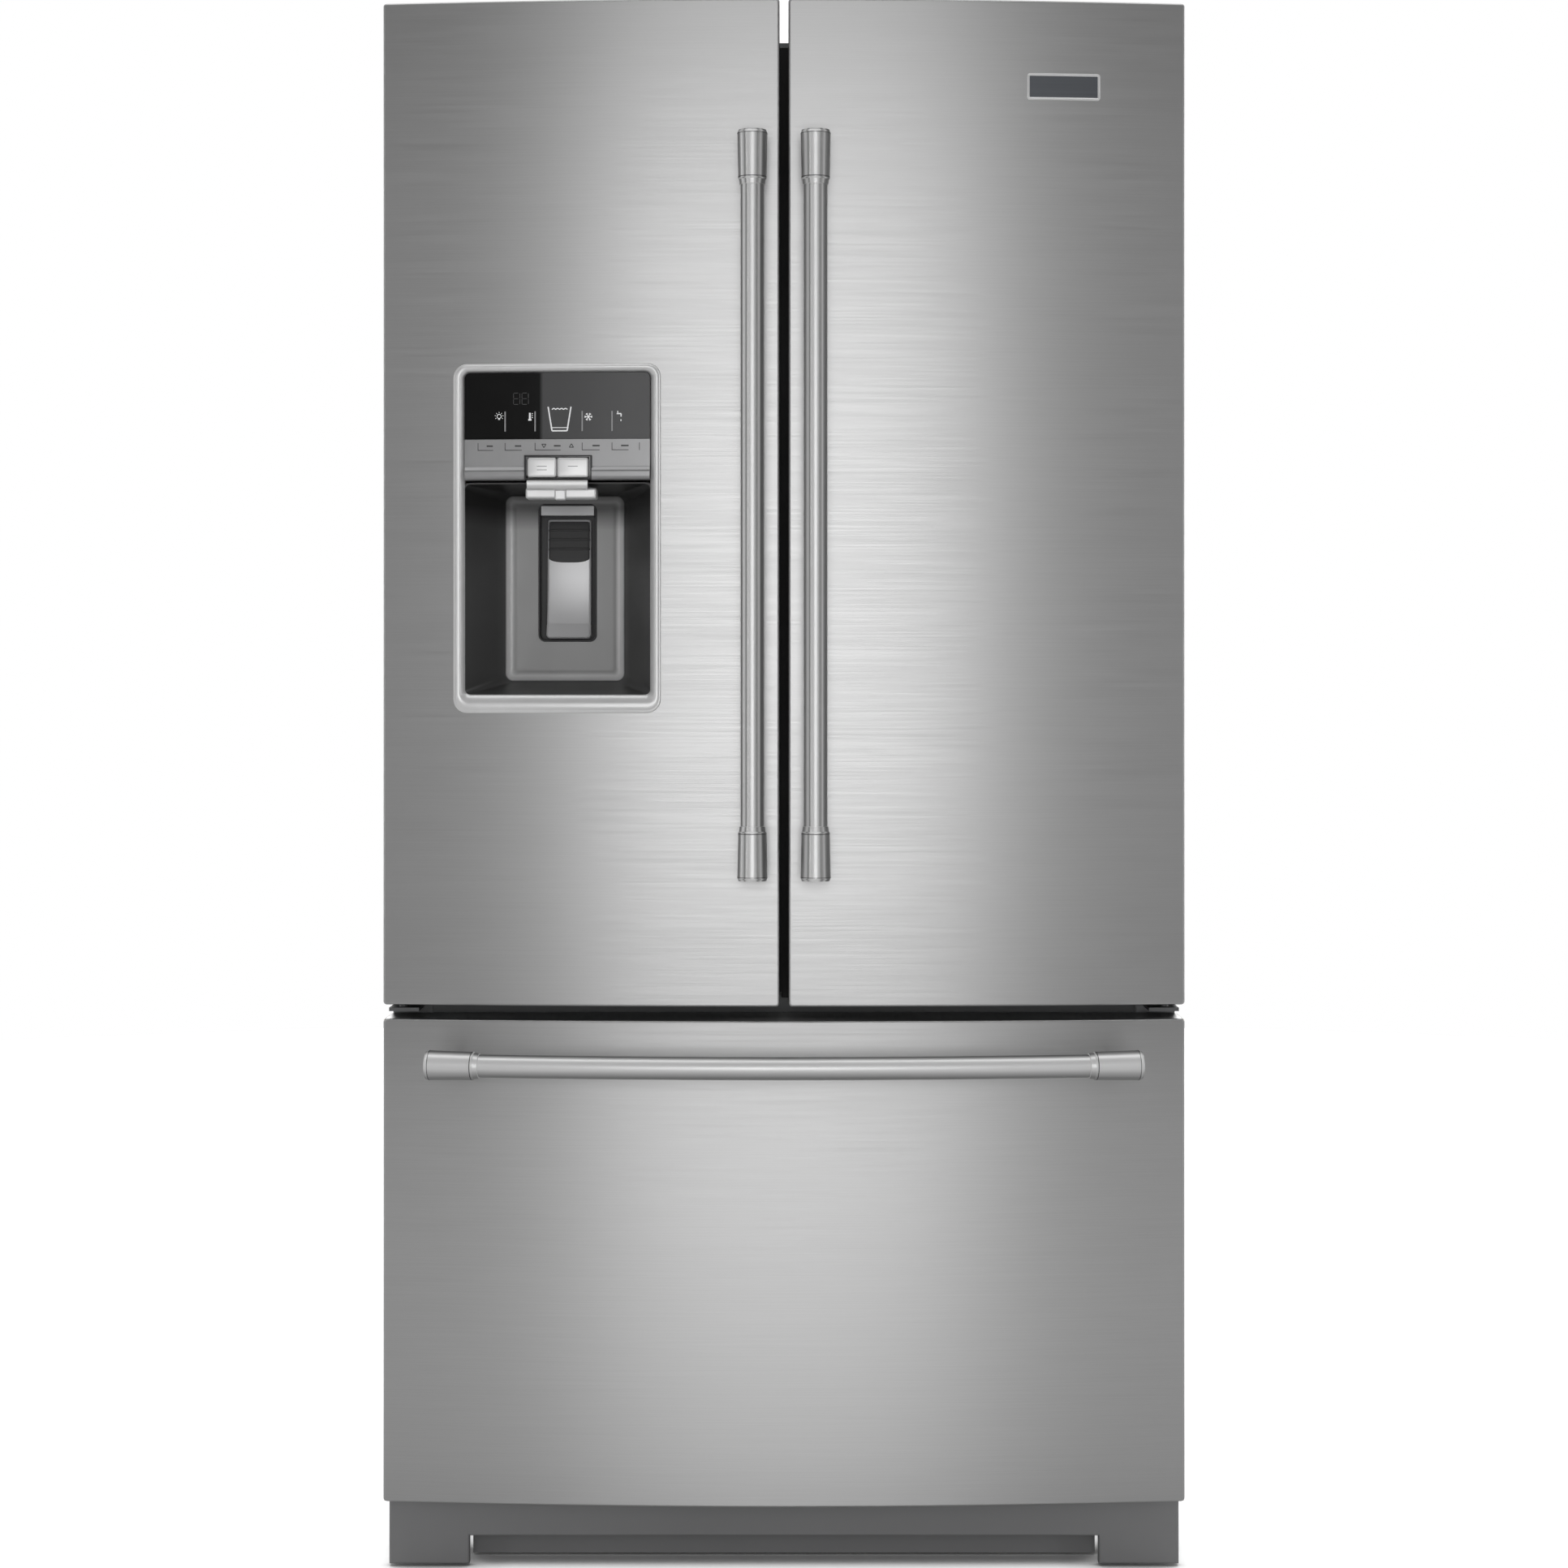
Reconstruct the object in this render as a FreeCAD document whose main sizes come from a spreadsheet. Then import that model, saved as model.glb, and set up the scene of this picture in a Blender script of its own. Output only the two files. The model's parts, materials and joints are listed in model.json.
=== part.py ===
"""French door refrigerator, 36-inch class, with an in-door dispenser.

Frame: millimetres, +Z up, origin on the floor under the centre of the overall box. The doors face
-Y and +X is to the right of a person who stands in front. Every size is a cell of the sheet
"Size"; a position in a call below is an expression in those cells.
"""
import FreeCAD, Part
import math
import os
import re
import Sketcher

os.makedirs("parts", exist_ok=True)
doc = FreeCAD.newDocument("refrigerator")

SIZES = {
    # case, as planes from the origin
    "case_half": 451.0, "case_back": 457.25, "case_front": -279.75, "case_top": 1749.0,
    "sheet": 1.0, "total_top": 1781.0, "front_low": 80.0, "machine_low": 30.0,
    # cavities, inner faces
    "cavity_half": 400.0, "cavity_back": 395.0, "wall": 2.0, "fresh_low": 692.0,
    "fresh_high": 1698.0, "freezer_low": 120.0, "freezer_high": 598.0, "freezer_back": 360.0,
    "step_front": 215.0, "step_top": 300.0,
    # doors
    "half_width": 452.5, "door_rear": -291.75, "door_edge": -359.75, "bow_rise": 27.0,
    "door_low": 647.0, "door_high": 1777.0, "drawer_low": 86.0, "drawer_high": 631.0,
    "gap_half": 5.0, "skin": 1.0, "cap": 12.0, "corner": 4.0, "edge_round": 2.5, "panel": 3.0,
    "gasket": 18.0, "gasket_clear": 0.3, "gasket_low": 655.0, "gasket_high": 1741.0,
    "gasket_mid": 1.0, "hinge_out": 434.0, "hinge_front": 26.0, "pin_r": 5.0, "pin_fit": 0.05,
    # raised ribs on the back of the doors
    "rib_out": 392.0, "rib_in": 54.0, "rib_low": 700.0, "rib_high": 1690.0, "rib_side": 34.0,
    "rib_end": 20.0, "rib_back": -245.0,
    # flip mullion
    "flip_x": 38.0, "flip_y": -267.0, "flip_thick": 12.2, "flip_low": 712.0, "flip_high": 1678.0,
    "flip_pin": 3.0,
    # handles
    "bar_r": 13.0, "ferrule_r": 15.6, "ferrule_end_r": 16.6, "ferrule": 52.0, "neck": 7.0,
    "tip": 1.5, "tip_r": 15.4, "handle_x": 35.0, "handle_y": -431.6, "handle_low": 791.0,
    "handle_high": 1621.0, "post_r": 8.0, "bow_bar_r": 12.75, "bow_bar_front": -457.25,
    "bow_bar_half": 398.0, "bow_bar_rise": 33.0, "bow_bar_z": 585.0,
    # dispenser in the left door
    "bezel_left": -372.3, "bezel_right": -138.1, "bezel_low": 976.3, "bezel_high": 1368.7,
    "bezel_in_left": -359.5, "bezel_in_right": -150.0, "bezel_in_low": 997.0,
    "bezel_in_high": 1358.6, "bezel_proud": 4.0, "bezel_round": 15.5,
    "bezel_in_round": 6.0, "display_low": 1283.5, "fascia_low": 1238.0, "recess_back": -268.2,
    "recess_back_left": -318.0, "recess_back_right": -187.6, "recess_floor": 998.0,
    "recess_high": 1234.0, "recess_back_high": 1220.0, "housing_back": -250.0,
    "well_left": -284.4, "well_right": -216.7, "well_low": 1058.0, "well_high": 1212.0,
    "well_deep": 14.0, "paddle_left": -276.0, "paddle_right": -221.0, "paddle_low": 1060.0,
    "paddle_top": 1203.0, "paddle_thick": 6.0, "paddle_y": -262.0, "paddle_tilt": 6.0,
    "key_left": -287.5, "key_mid": -254.7, "key_right": -219.0, "key_low": 1240.5,
    "key_high": 1262.5, "key_gap": 0.9, "key_deep": 12.0,
    # blank badge on the right door
    "badge_left": 273.0, "badge_right": 356.0, "badge_low": 1665.0, "badge_high": 1695.0,
    "badge_proud": 1.6,
    # inside
    "shelf_front": -165.0, "shelf_back": 385.0, "shelf_thick": 14.0, "rim": 18.0, "glass": 4.0,
    "shelf_gap": 6.0, "bin_back": -178.0, "bin_wall": 2.5, "bin_high": 95.0,
    "crisper_low": 712.0, "crisper_high": 890.0, "crisper_out": 380.0, "crisper_in": 8.0,
    "crisper_back": 330.0, "crisper_wall": 3.0, "lid_hinge_y": -286.0,
    "maker_right": -190.0, "maker_low": 1445.0,
    # freezer drawer
    "slide_low": 335.0, "slide_high": 365.0, "slide_in": 382.0, "slide_sheet": 4.4,
    "slide_gap": 0.6, "slide_back": 190.0, "basket_half": 378.0, "basket_low": 135.0,
    "basket_high": 420.0, "basket_wall": 3.0, "upper_half": 370.0, "upper_low": 450.0,
    "upper_high": 562.0, "ledge_top": 555.5,
    # base
    "grille_front": -314.75, "grille_half": 451.5, "grille_high": 80.0, "grille_band": 35.0,
    "leg_in": 360.0, "grille_thick": 14.0, "foot_r": 20.0, "foot_x": 410.0, "foot_y": -245.0,
    "roller_r": 21.0, "roller_y": 360.0, "axle_r": 4.0, "rail_in": 385.0, "rail_out": 440.0,
    # hinges
    "hinge_sheet": 3.5, "hood_in": 396.0, "hood_back": -118.0,
    # machine compartment
    "bay_front": 240.0, "bay_top": 285.0, "can_r": 78.0,
    "fan_r": 62.0, "fan_hub": 16.0, "fan_y": 345.0, "fan_z": 150.0,
}

sheet = doc.addObject("Spreadsheet::Sheet", "Size")
for row, (alias, size) in enumerate(SIZES.items(), start=1):
    sheet.set(f"A{row}", alias)
    sheet.set(f"B{row}", str(size))
    sheet.setAlias(f"B{row}", alias)
doc.recompute()

BOW_R = "((half_width^2 + bow_rise^2) / (2 * bow_rise))"
BOW_Y = f"(door_edge - bow_rise + {BOW_R})"
HINGE_Y = "(door_rear - hinge_front)"
NODES = {}


def bound(expression):
    """The expression with each cell name given its sheet."""
    return re.sub(r"\b[a-z][a-z_]+\b", lambda word: "Size." + word.group(), str(expression))


def value(alias):
    """The number in a cell, for picking edges and for turned placements."""
    return SIZES[alias]


def place(item, x=0, y=0, z=0):
    """Binds an item's position to three expressions."""
    for axis, expression in zip("xyz", (x, y, z)):
        item.setExpression(f"Placement.Base.{axis}", bound(expression))
    return item


def box(x, y, z, name="block"):
    """A box between two planes on each axis, each plane an expression."""
    item = doc.addObject("Part::Box", name)
    for size, (low, high) in zip(("Length", "Width", "Height"), (x, y, z)):
        item.setExpression(size, bound(f"({high}) - ({low})"))
    return place(item, x[0], y[0], z[0])


def cylinder(radius, span, x=0, y=0, axis="z", name="round"):
    """A cylinder along an axis; x and y are the other two coordinates in order."""
    item = doc.addObject("Part::Cylinder", name)
    item.setExpression("Radius", bound(radius))
    item.setExpression("Height", bound(f"({span[1]}) - ({span[0]})"))
    if axis == "z":
        return place(item, x, y, span[0])
    if axis == "x":
        item.Placement.Rotation = FreeCAD.Rotation(FreeCAD.Vector(0, 1, 0), 90)
        return place(item, span[0], x, y)
    item.Placement.Rotation = FreeCAD.Rotation(FreeCAD.Vector(1, 0, 0), -90)
    return place(item, x, span[0], y)


def bow(offset, low, high):
    """The big upright cylinder whose front is the door face, grown by offset."""
    return cylinder(f"{BOW_R} + ({offset})", (low, high), 0, BOW_Y, name="bow")


def cut(base, tool, name="cut"):
    item = doc.addObject("Part::Cut", name)
    item.Base = base
    item.Tool = tool
    return item


def common(base, tool, name="common"):
    item = doc.addObject("Part::Common", name)
    item.Base = base
    item.Tool = tool
    return item


def fuse(parts, name="fuse"):
    item = doc.addObject("Part::MultiFuse", name)
    item.Shapes = parts
    item.Refine = True
    return item


def group(parts, name="group"):
    item = doc.addObject("Part::Compound", name)
    item.Links = parts
    return item


def fillet(base, radius, pick, name="rounded"):
    """Rounds the edges that pick(edge) accepts."""
    doc.recompute()
    size = value(radius)
    edges = [(number, size, size) for number, edge in enumerate(base.Shape.Edges, start=1) if pick(edge)]
    item = doc.addObject("Part::Fillet", name)
    item.Base = base
    item.Edges = edges
    return item


def along(edge, axis):
    """True for a straight edge parallel to an axis."""
    box_of = edge.BoundBox
    lengths = {"x": box_of.XLength, "y": box_of.YLength, "z": box_of.ZLength}
    rest = [length for key, length in lengths.items() if key != axis]
    return lengths[axis] > 1.0 and max(rest) < 0.01


def mirrored(side, low, high):
    """The pair of planes low..high on the right, or its mirror image on the left."""
    return (low, high) if side > 0 else (f"-({high})", f"-({low})")


def sketch_profile(body, plane, points):
    """A closed outline whose corners are bound to expressions, on an origin plane of the body."""
    sketch = body.newObject("Sketcher::SketchObject", "outline")
    origin = [item for item in body.Origin.OriginFeatures if item.Role == plane][0]
    sketch.AttachmentSupport = [(origin, "")]
    sketch.MapMode = "FlatFace"
    corners = [FreeCAD.Vector(*guess) for guess in starting_corners(len(points))]
    for index, start in enumerate(corners):
        end = corners[(index + 1) % len(corners)]
        sketch.addGeometry(Part.LineSegment(start, end), False)
    for index in range(len(points)):
        following = (index + 1) % len(points)
        sketch.addConstraint(Sketcher.Constraint("Coincident", index, 2, following, 1))
    for index, (across, up) in enumerate(points):
        for kind, expression in (("DistanceX", across), ("DistanceY", up)):
            guess = getattr(corners[index], kind[-1].lower())
            number = sketch.addConstraint(Sketcher.Constraint(kind, -1, 1, index, 1, guess))
            sketch.setExpression(f"Constraints[{number}]", bound(expression))
    return sketch


def starting_corners(count):
    """Starting places for an outline's corners, before its sizes place them."""
    for index in range(count):
        turn = 2 * math.pi * index / count
        yield (20 + 10 * math.cos(turn), 20 + 10 * math.sin(turn), 0)


def revolved(points, name):
    """A turned piece: an outline of (radius, height) corners revolved about its upright axis."""
    body = doc.addObject("PartDesign::Body", name)
    sketch = sketch_profile(body, "XZ_Plane", points)
    turn = body.newObject("PartDesign::Revolution", "turned")
    turn.Profile = sketch
    turn.ReferenceAxis = (sketch, ["V_Axis"])
    turn.Angle = 360.0
    body.Tip = turn
    return body


def node(name, item):
    """Names a finished sub-part."""
    item.Label = name
    NODES[name] = item
    return item


# ---------------------------------------------------------------- case and cavities
def build_case():
    """The painted wrapper, the rear panel and the front frame, with the foam and liners inside."""
    sides = [box(mirrored(side, "case_half - sheet", "case_half"), ("case_front", "case_back - sheet"),
                 ("machine_low", "case_top")) for side in (-1, 1)]
    lid = box(("-case_half + sheet", "case_half - sheet"), ("case_front", "case_back - sheet"),
              ("case_top - sheet", "case_top"))
    node("cabinet_wrapper", group(sides + [lid]))
    node("back_panel", box(("-case_half", "case_half"), ("case_back - sheet", "case_back"),
                           ("bay_top + sheet", "case_top")))
    inner = "case_half - sheet"
    plate = box((f"-({inner})", inner), ("case_front", "case_front + sheet"),
                ("front_low", "case_top - sheet"))
    windows = [box(("-cavity_half - wall", "cavity_half + wall"), ("case_front - 5", "case_front + 5"),
                   (low, high)) for low, high in (("fresh_low - wall", "fresh_high + wall"),
                                                  ("freezer_low - wall", "freezer_high + wall"))]
    node("front_frame", cut(plate, group(windows)))
    build_foam(inner)
    build_liners()


def build_foam(inner):
    """Insulation slabs that meet face to face around the two cavities."""
    front = "case_front + sheet"
    back = "case_back - sheet"
    out = "cavity_half + wall"
    slabs = [
        box((f"-({inner})", inner), (front, back), ("fresh_high + wall", "case_top - sheet")),
        box((f"-({out})", out), ("cavity_back + wall", back),
            ("freezer_high + wall", "fresh_high + wall")),
        box((f"-({out})", out), (front, "cavity_back + wall"),
            ("freezer_high + wall", "fresh_low - wall")),
        box((f"-({out})", out), ("freezer_back + wall", back),
            ("step_top + wall", "freezer_high + wall")),
        box((f"-({out})", out), (front, "step_front"), ("front_low", "freezer_low - wall")),
        box((f"-({out})", out), ("step_front + wall", "bay_front"), ("front_low", "step_top")),
        box((f"-({out})", out), ("bay_front", back), ("bay_top + sheet", "step_top")),
    ]
    for side in (-1, 1):
        slabs.append(box(mirrored(side, out, inner), (front, "bay_front"),
                         ("front_low", "fresh_high + wall")))
        slabs.append(box(mirrored(side, out, inner), ("bay_front", back),
                         ("bay_top + sheet", "fresh_high + wall")))
    node("cabinet_foam", group(slabs))


def build_liners():
    """The two moulded liners; the freezer's steps up at the back over the machine bay."""
    out = "cavity_half + wall"
    fresh = cut(box((f"-({out})", out), ("case_front", "cavity_back + wall"),
                    ("fresh_low - wall", "fresh_high + wall")),
                box(("-cavity_half", "cavity_half"), ("case_front - 10", "cavity_back"),
                    ("fresh_low", "fresh_high")))
    node("fresh_food_liner", fresh)
    outer = cut(box((f"-({out})", out), ("case_front", "freezer_back + wall"),
                    ("freezer_low - wall", "freezer_high + wall")),
                box((f"-({out}) - 5", f"{out} + 5"), ("step_front + wall", "freezer_back + 20"),
                    ("freezer_low - 20", "step_top")))
    upper = box(("-cavity_half", "cavity_half"), ("case_front - 10", "freezer_back"),
                ("step_top + wall", "freezer_high"))
    lower = box(("-cavity_half", "cavity_half"), ("case_front - 10", "step_front"),
                ("freezer_low", "freezer_high"))
    shell = cut(outer, fuse([upper, lower]))
    ledges = [box(mirrored(side, "cavity_half - 18", "cavity_half + 1"),
                  ("case_front + 30", "slide_back + 10"),
                  ("ledge_top - 12", "ledge_top")) for side in (-1, 1)]
    node("freezer_liner", fuse([shell] + ledges))


# ---------------------------------------------------------------- doors
def door_shell(left, right, low, high):
    """The outer form of a door, with a bowed face and rounded front edges."""
    deep = ("door_edge - bow_rise - 10", "door_rear")
    raw = common(box((left, right), deep, (low, high)), bow(0, f"({low}) - 5", f"({high}) + 5"))
    corners = fillet(raw, "corner", lambda edge: along(edge, "y"))
    face_edge = value("door_edge") + 0.5
    return fillet(corners, "edge_round",
                  lambda edge: edge.BoundBox.YMax < face_edge and not along(edge, "y"))


def door_inside(left, right, low, high, rear="door_rear"):
    """What lies within a door's sheet, back to a rear plane."""
    deep = ("door_edge - bow_rise - 10", rear)
    sides = (f"({left}) + skin", f"({right}) - skin")
    return common(box(sides, deep, (low, high)), bow("-skin", f"({low}) - 5", f"({high}) + 5"))


def gasket(left, right, low, high):
    """A flat ring that stops just short of the case front."""
    rear = "case_front - gasket_clear"
    ring = box((left, right), ("door_rear", rear), (low, high))
    hole = box((f"({left}) + gasket", f"({right}) - gasket"), ("door_rear - 5", "case_front + 5"),
               (f"({low}) + gasket", f"({high}) - gasket"))
    return cut(ring, hole)


def ferrule(name):
    """A handle end: a nearly flat tip, a sleeve that narrows slightly, and a short neck to the bar."""
    return revolved([(0, 0), ("tip_r", 0), ("ferrule_end_r - 0.8", "tip"),
                     ("ferrule_end_r", "tip + 1.5"),
                     ("ferrule_r", "tip + ferrule"), ("ferrule_r - 0.9", "tip + ferrule + 1.2"),
                     ("bar_r + 0.9", "tip + ferrule + neck - 0.5"), ("bar_r", "tip + ferrule + neck"),
                     (0, "tip + ferrule + neck")], name)


def upright_handle(door, side):
    """A straight bar between two sleeves, each held by a post on the door's face."""
    x = "handle_x" if side > 0 else "-handle_x"
    reach = "(tip + ferrule + neck)"
    pieces = [cylinder("bar_r", (f"handle_low + {reach}", f"handle_high - {reach}"), x, "handle_y")]
    for end, height, turn in (("handle_low", "handle_low + tip + ferrule / 2", 0),
                              ("handle_high", "handle_high - tip - ferrule / 2", 180)):
        sleeve = ferrule("ferrule")
        sleeve.Placement.Rotation = FreeCAD.Rotation(FreeCAD.Vector(1, 0, 0), turn)
        place(sleeve, x, "handle_y", end)
        post = cut(cylinder("post_r", ("handle_y", "door_edge"), x, height, "y"),
                   bow(0, f"({height}) - 30", f"({height}) + 30"))
        pieces.append(fuse([sleeve, post]))
    node(f"{door}_handle", group(pieces))


def pin_hole(low, high, side):
    """The bore on a door's hinge axis."""
    x = "hinge_out" if side > 0 else "-hinge_out"
    return cylinder("pin_r + pin_fit", (low, high), x, HINGE_Y)


def build_door(door, side):
    """One upper door: skin, end caps, foam, inner panel with its raised ribs, gasket and handle."""
    left, right = mirrored(side, "gap_half", "half_width")
    outer = door_shell(left, right, "door_low", "door_high")
    skin = cut(outer, door_inside(left, right, "door_low - 5", "door_high + 5", "door_rear + 5"))
    caps = []
    for low, high in (("door_low", "door_low + cap"), ("door_high - cap", "door_high")):
        slab = common(outer, door_inside(left, right, low, high))
        caps.append(cut(slab, pin_hole(f"{low} - 5", f"{high} + 5", side)))
    node(f"{door}_end_caps", group(caps))
    foam = door_inside(left, right, "door_low + cap", "door_high - cap", "door_rear - panel")
    sheet_span = (f"({left}) + skin", f"({right}) - skin")
    plate = box(sheet_span, ("door_rear - panel", "door_rear"), ("door_low + cap", "door_high - cap"))
    rib_span = mirrored(side, "rib_in", "rib_out")
    ribs = box(rib_span, ("door_rear - 0.5", "rib_back"), ("rib_low", "rib_high"))
    hollow = box((f"({rib_span[0]}) + rib_side", f"({rib_span[1]}) - rib_side"),
                 ("door_rear", "rib_back + 5"),
                 ("rib_low + rib_end", "rib_high - rib_end"))
    rib_face = value("rib_back") - 0.1
    ring = fillet(cut(ribs, hollow), "corner", lambda edge: edge.BoundBox.YMin > rib_face)
    pieces = [plate, ring]
    if side < 0:
        skin, foam, pieces = open_for_dispenser(skin, foam, pieces)
        pieces += mullion_lugs()
    node(f"{door}_skin", skin)
    node(f"{door}_foam", foam)
    liner = fuse(pieces)
    if side < 0:
        liner = cut(liner, housing_room("housing_back"))
    node(f"{door}_liner", liner)
    seal = mirrored(side, "gasket_mid", "hinge_out")
    node(f"{door}_gasket", gasket(seal[0], seal[1], "gasket_low", "gasket_high"))
    upright_handle(door, side)


def housing_room(back):
    """The block of space that the dispenser housing fills in the left door."""
    return box(("bezel_in_left - 2", "bezel_in_right + 2"), ("door_edge - bow_rise - 20", back),
               ("bezel_in_low - 10", "bezel_in_high + 2"))


def open_for_dispenser(skin, foam, pieces):
    """Cuts the dispenser's window and adds the raised cover behind it."""
    bump = box(("bezel_in_left - 14", "bezel_in_right + 14"), ("door_rear - 0.5", "housing_back + 4"),
               ("bezel_in_low - 22", "bezel_in_high + 14"))
    skin = cut(skin, housing_room("door_edge + 10"))
    foam = cut(foam, housing_room("door_rear + 5"))
    return skin, foam, pieces + [bump]


def mullion_lugs():
    """The two lugs on the left door's inner rib that carry the mullion's pin."""
    lugs = []
    for low, high in (("rib_low", "flip_low - 1"), ("flip_high + 1", "rib_high")):
        lug = box(("-rib_in - 2", "-flip_x + 6"), ("flip_y - 6", "flip_y + 6"), (low, high))
        bore = cylinder("flip_pin + pin_fit", (f"{low} - 5", f"{high} + 5"), "-flip_x", "flip_y")
        lugs.append(cut(lug, bore))
    return lugs


def build_mullion():
    """The bar that closes the gap between the upper doors, with its pin."""
    bar = box(("-flip_x - 6", "-3"), ("flip_y - flip_thick", "flip_y + 12"), ("flip_low", "flip_high"))
    rounded = fillet(bar, "edge_round", lambda edge: along(edge, "z"))
    pin = cylinder("flip_pin", ("flip_low - 9", "flip_high + 9"), "-flip_x", "flip_y")
    node("flip_mullion", fuse([rounded, pin]))


def build_drawer_front():
    """The freezer drawer's front: skin, foam, inner panel with its raised pad, and gasket."""
    span = ("-half_width", "half_width", "drawer_low + skin", "drawer_high - skin")
    outer = door_shell("-half_width", "half_width", "drawer_low", "drawer_high")
    node("freezer_front_skin", cut(outer, door_inside(*span, "door_rear + 5")))
    node("freezer_front_foam", door_inside(*span, "door_rear - panel"))
    plate = box(("-half_width + skin", "half_width - skin"), ("door_rear - panel", "door_rear"),
                ("drawer_low + skin", "drawer_high - skin"))
    pad = box(("-basket_half", "basket_half"), ("door_rear - 1", "case_front + 18"),
              ("freezer_low + 12", "freezer_high - 20"))
    pad_face = value("case_front") + 10
    pad = fillet(pad, "corner", lambda edge: edge.BoundBox.YMin > pad_face)
    node("freezer_front_liner", fuse([plate, pad]))
    node("freezer_gasket", gasket("-hinge_out", "hinge_out", "drawer_low + 6", "drawer_high - 6"))
    build_bowed_handle()


def build_bowed_handle():
    """A bar bent to an arc, in two sleeves that follow its ends, on two posts."""
    half, rise = value("bow_bar_half"), value("bow_bar_rise")
    radius = (half ** 2 + rise ** 2) / (2 * rise)
    sleeve_length = value("tip") + value("ferrule") + value("neck")
    sweep = math.asin((half - sleeve_length) / radius)
    centre_y = "bow_bar_front + bow_bar_r + (bow_bar_half^2 + bow_bar_rise^2) / (2 * bow_bar_rise)"
    bar = doc.addObject("Part::Torus", "bowed_bar")
    bar.setExpression("Radius1", bound("(bow_bar_half^2 + bow_bar_rise^2) / (2 * bow_bar_rise)"))
    bar.setExpression("Radius2", bound("bow_bar_r"))
    bar.Angle3 = 2 * math.degrees(sweep)
    bar.Placement.Rotation = FreeCAD.Rotation(FreeCAD.Vector(0, 0, 1), -90 - math.degrees(sweep))
    place(bar, 0, centre_y, "bow_bar_z")
    middle_y = value("bow_bar_front") + value("bow_bar_r") + radius
    pieces = [bar]
    for side in (-1, 1):
        meet = FreeCAD.Vector(side * radius * math.sin(sweep), middle_y - radius * math.cos(sweep),
                              value("bow_bar_z"))
        inward = FreeCAD.Vector(-side * math.cos(sweep), -math.sin(sweep), 0)
        sleeve = ferrule("ferrule")
        turn = FreeCAD.Rotation(FreeCAD.Vector(0, 0, 1), inward)
        sleeve.Placement = FreeCAD.Placement(meet - inward * sleeve_length, turn)
        middle = meet - inward * (sleeve_length / 2)
        post_x = f"{'' if side > 0 else '-'}{abs(middle.x)}"
        post = cut(cylinder("post_r", (middle.y, "door_edge + 15"), post_x, "bow_bar_z", "y"),
                   bow(0, "bow_bar_z - 30", "bow_bar_z + 30"))
        pieces.append(fuse([sleeve, post]))
    node("freezer_handle", group(pieces))


# ---------------------------------------------------------------- dispenser
def slab(left, right, low, high, front, back):
    """A block whose front follows the door's bow, grown by front, and whose back is flat."""
    return common(box((left, right), ("door_edge - bow_rise - 20", back), (low, high)),
                  bow(front, f"({low}) - 5", f"({high}) + 5"))


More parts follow.
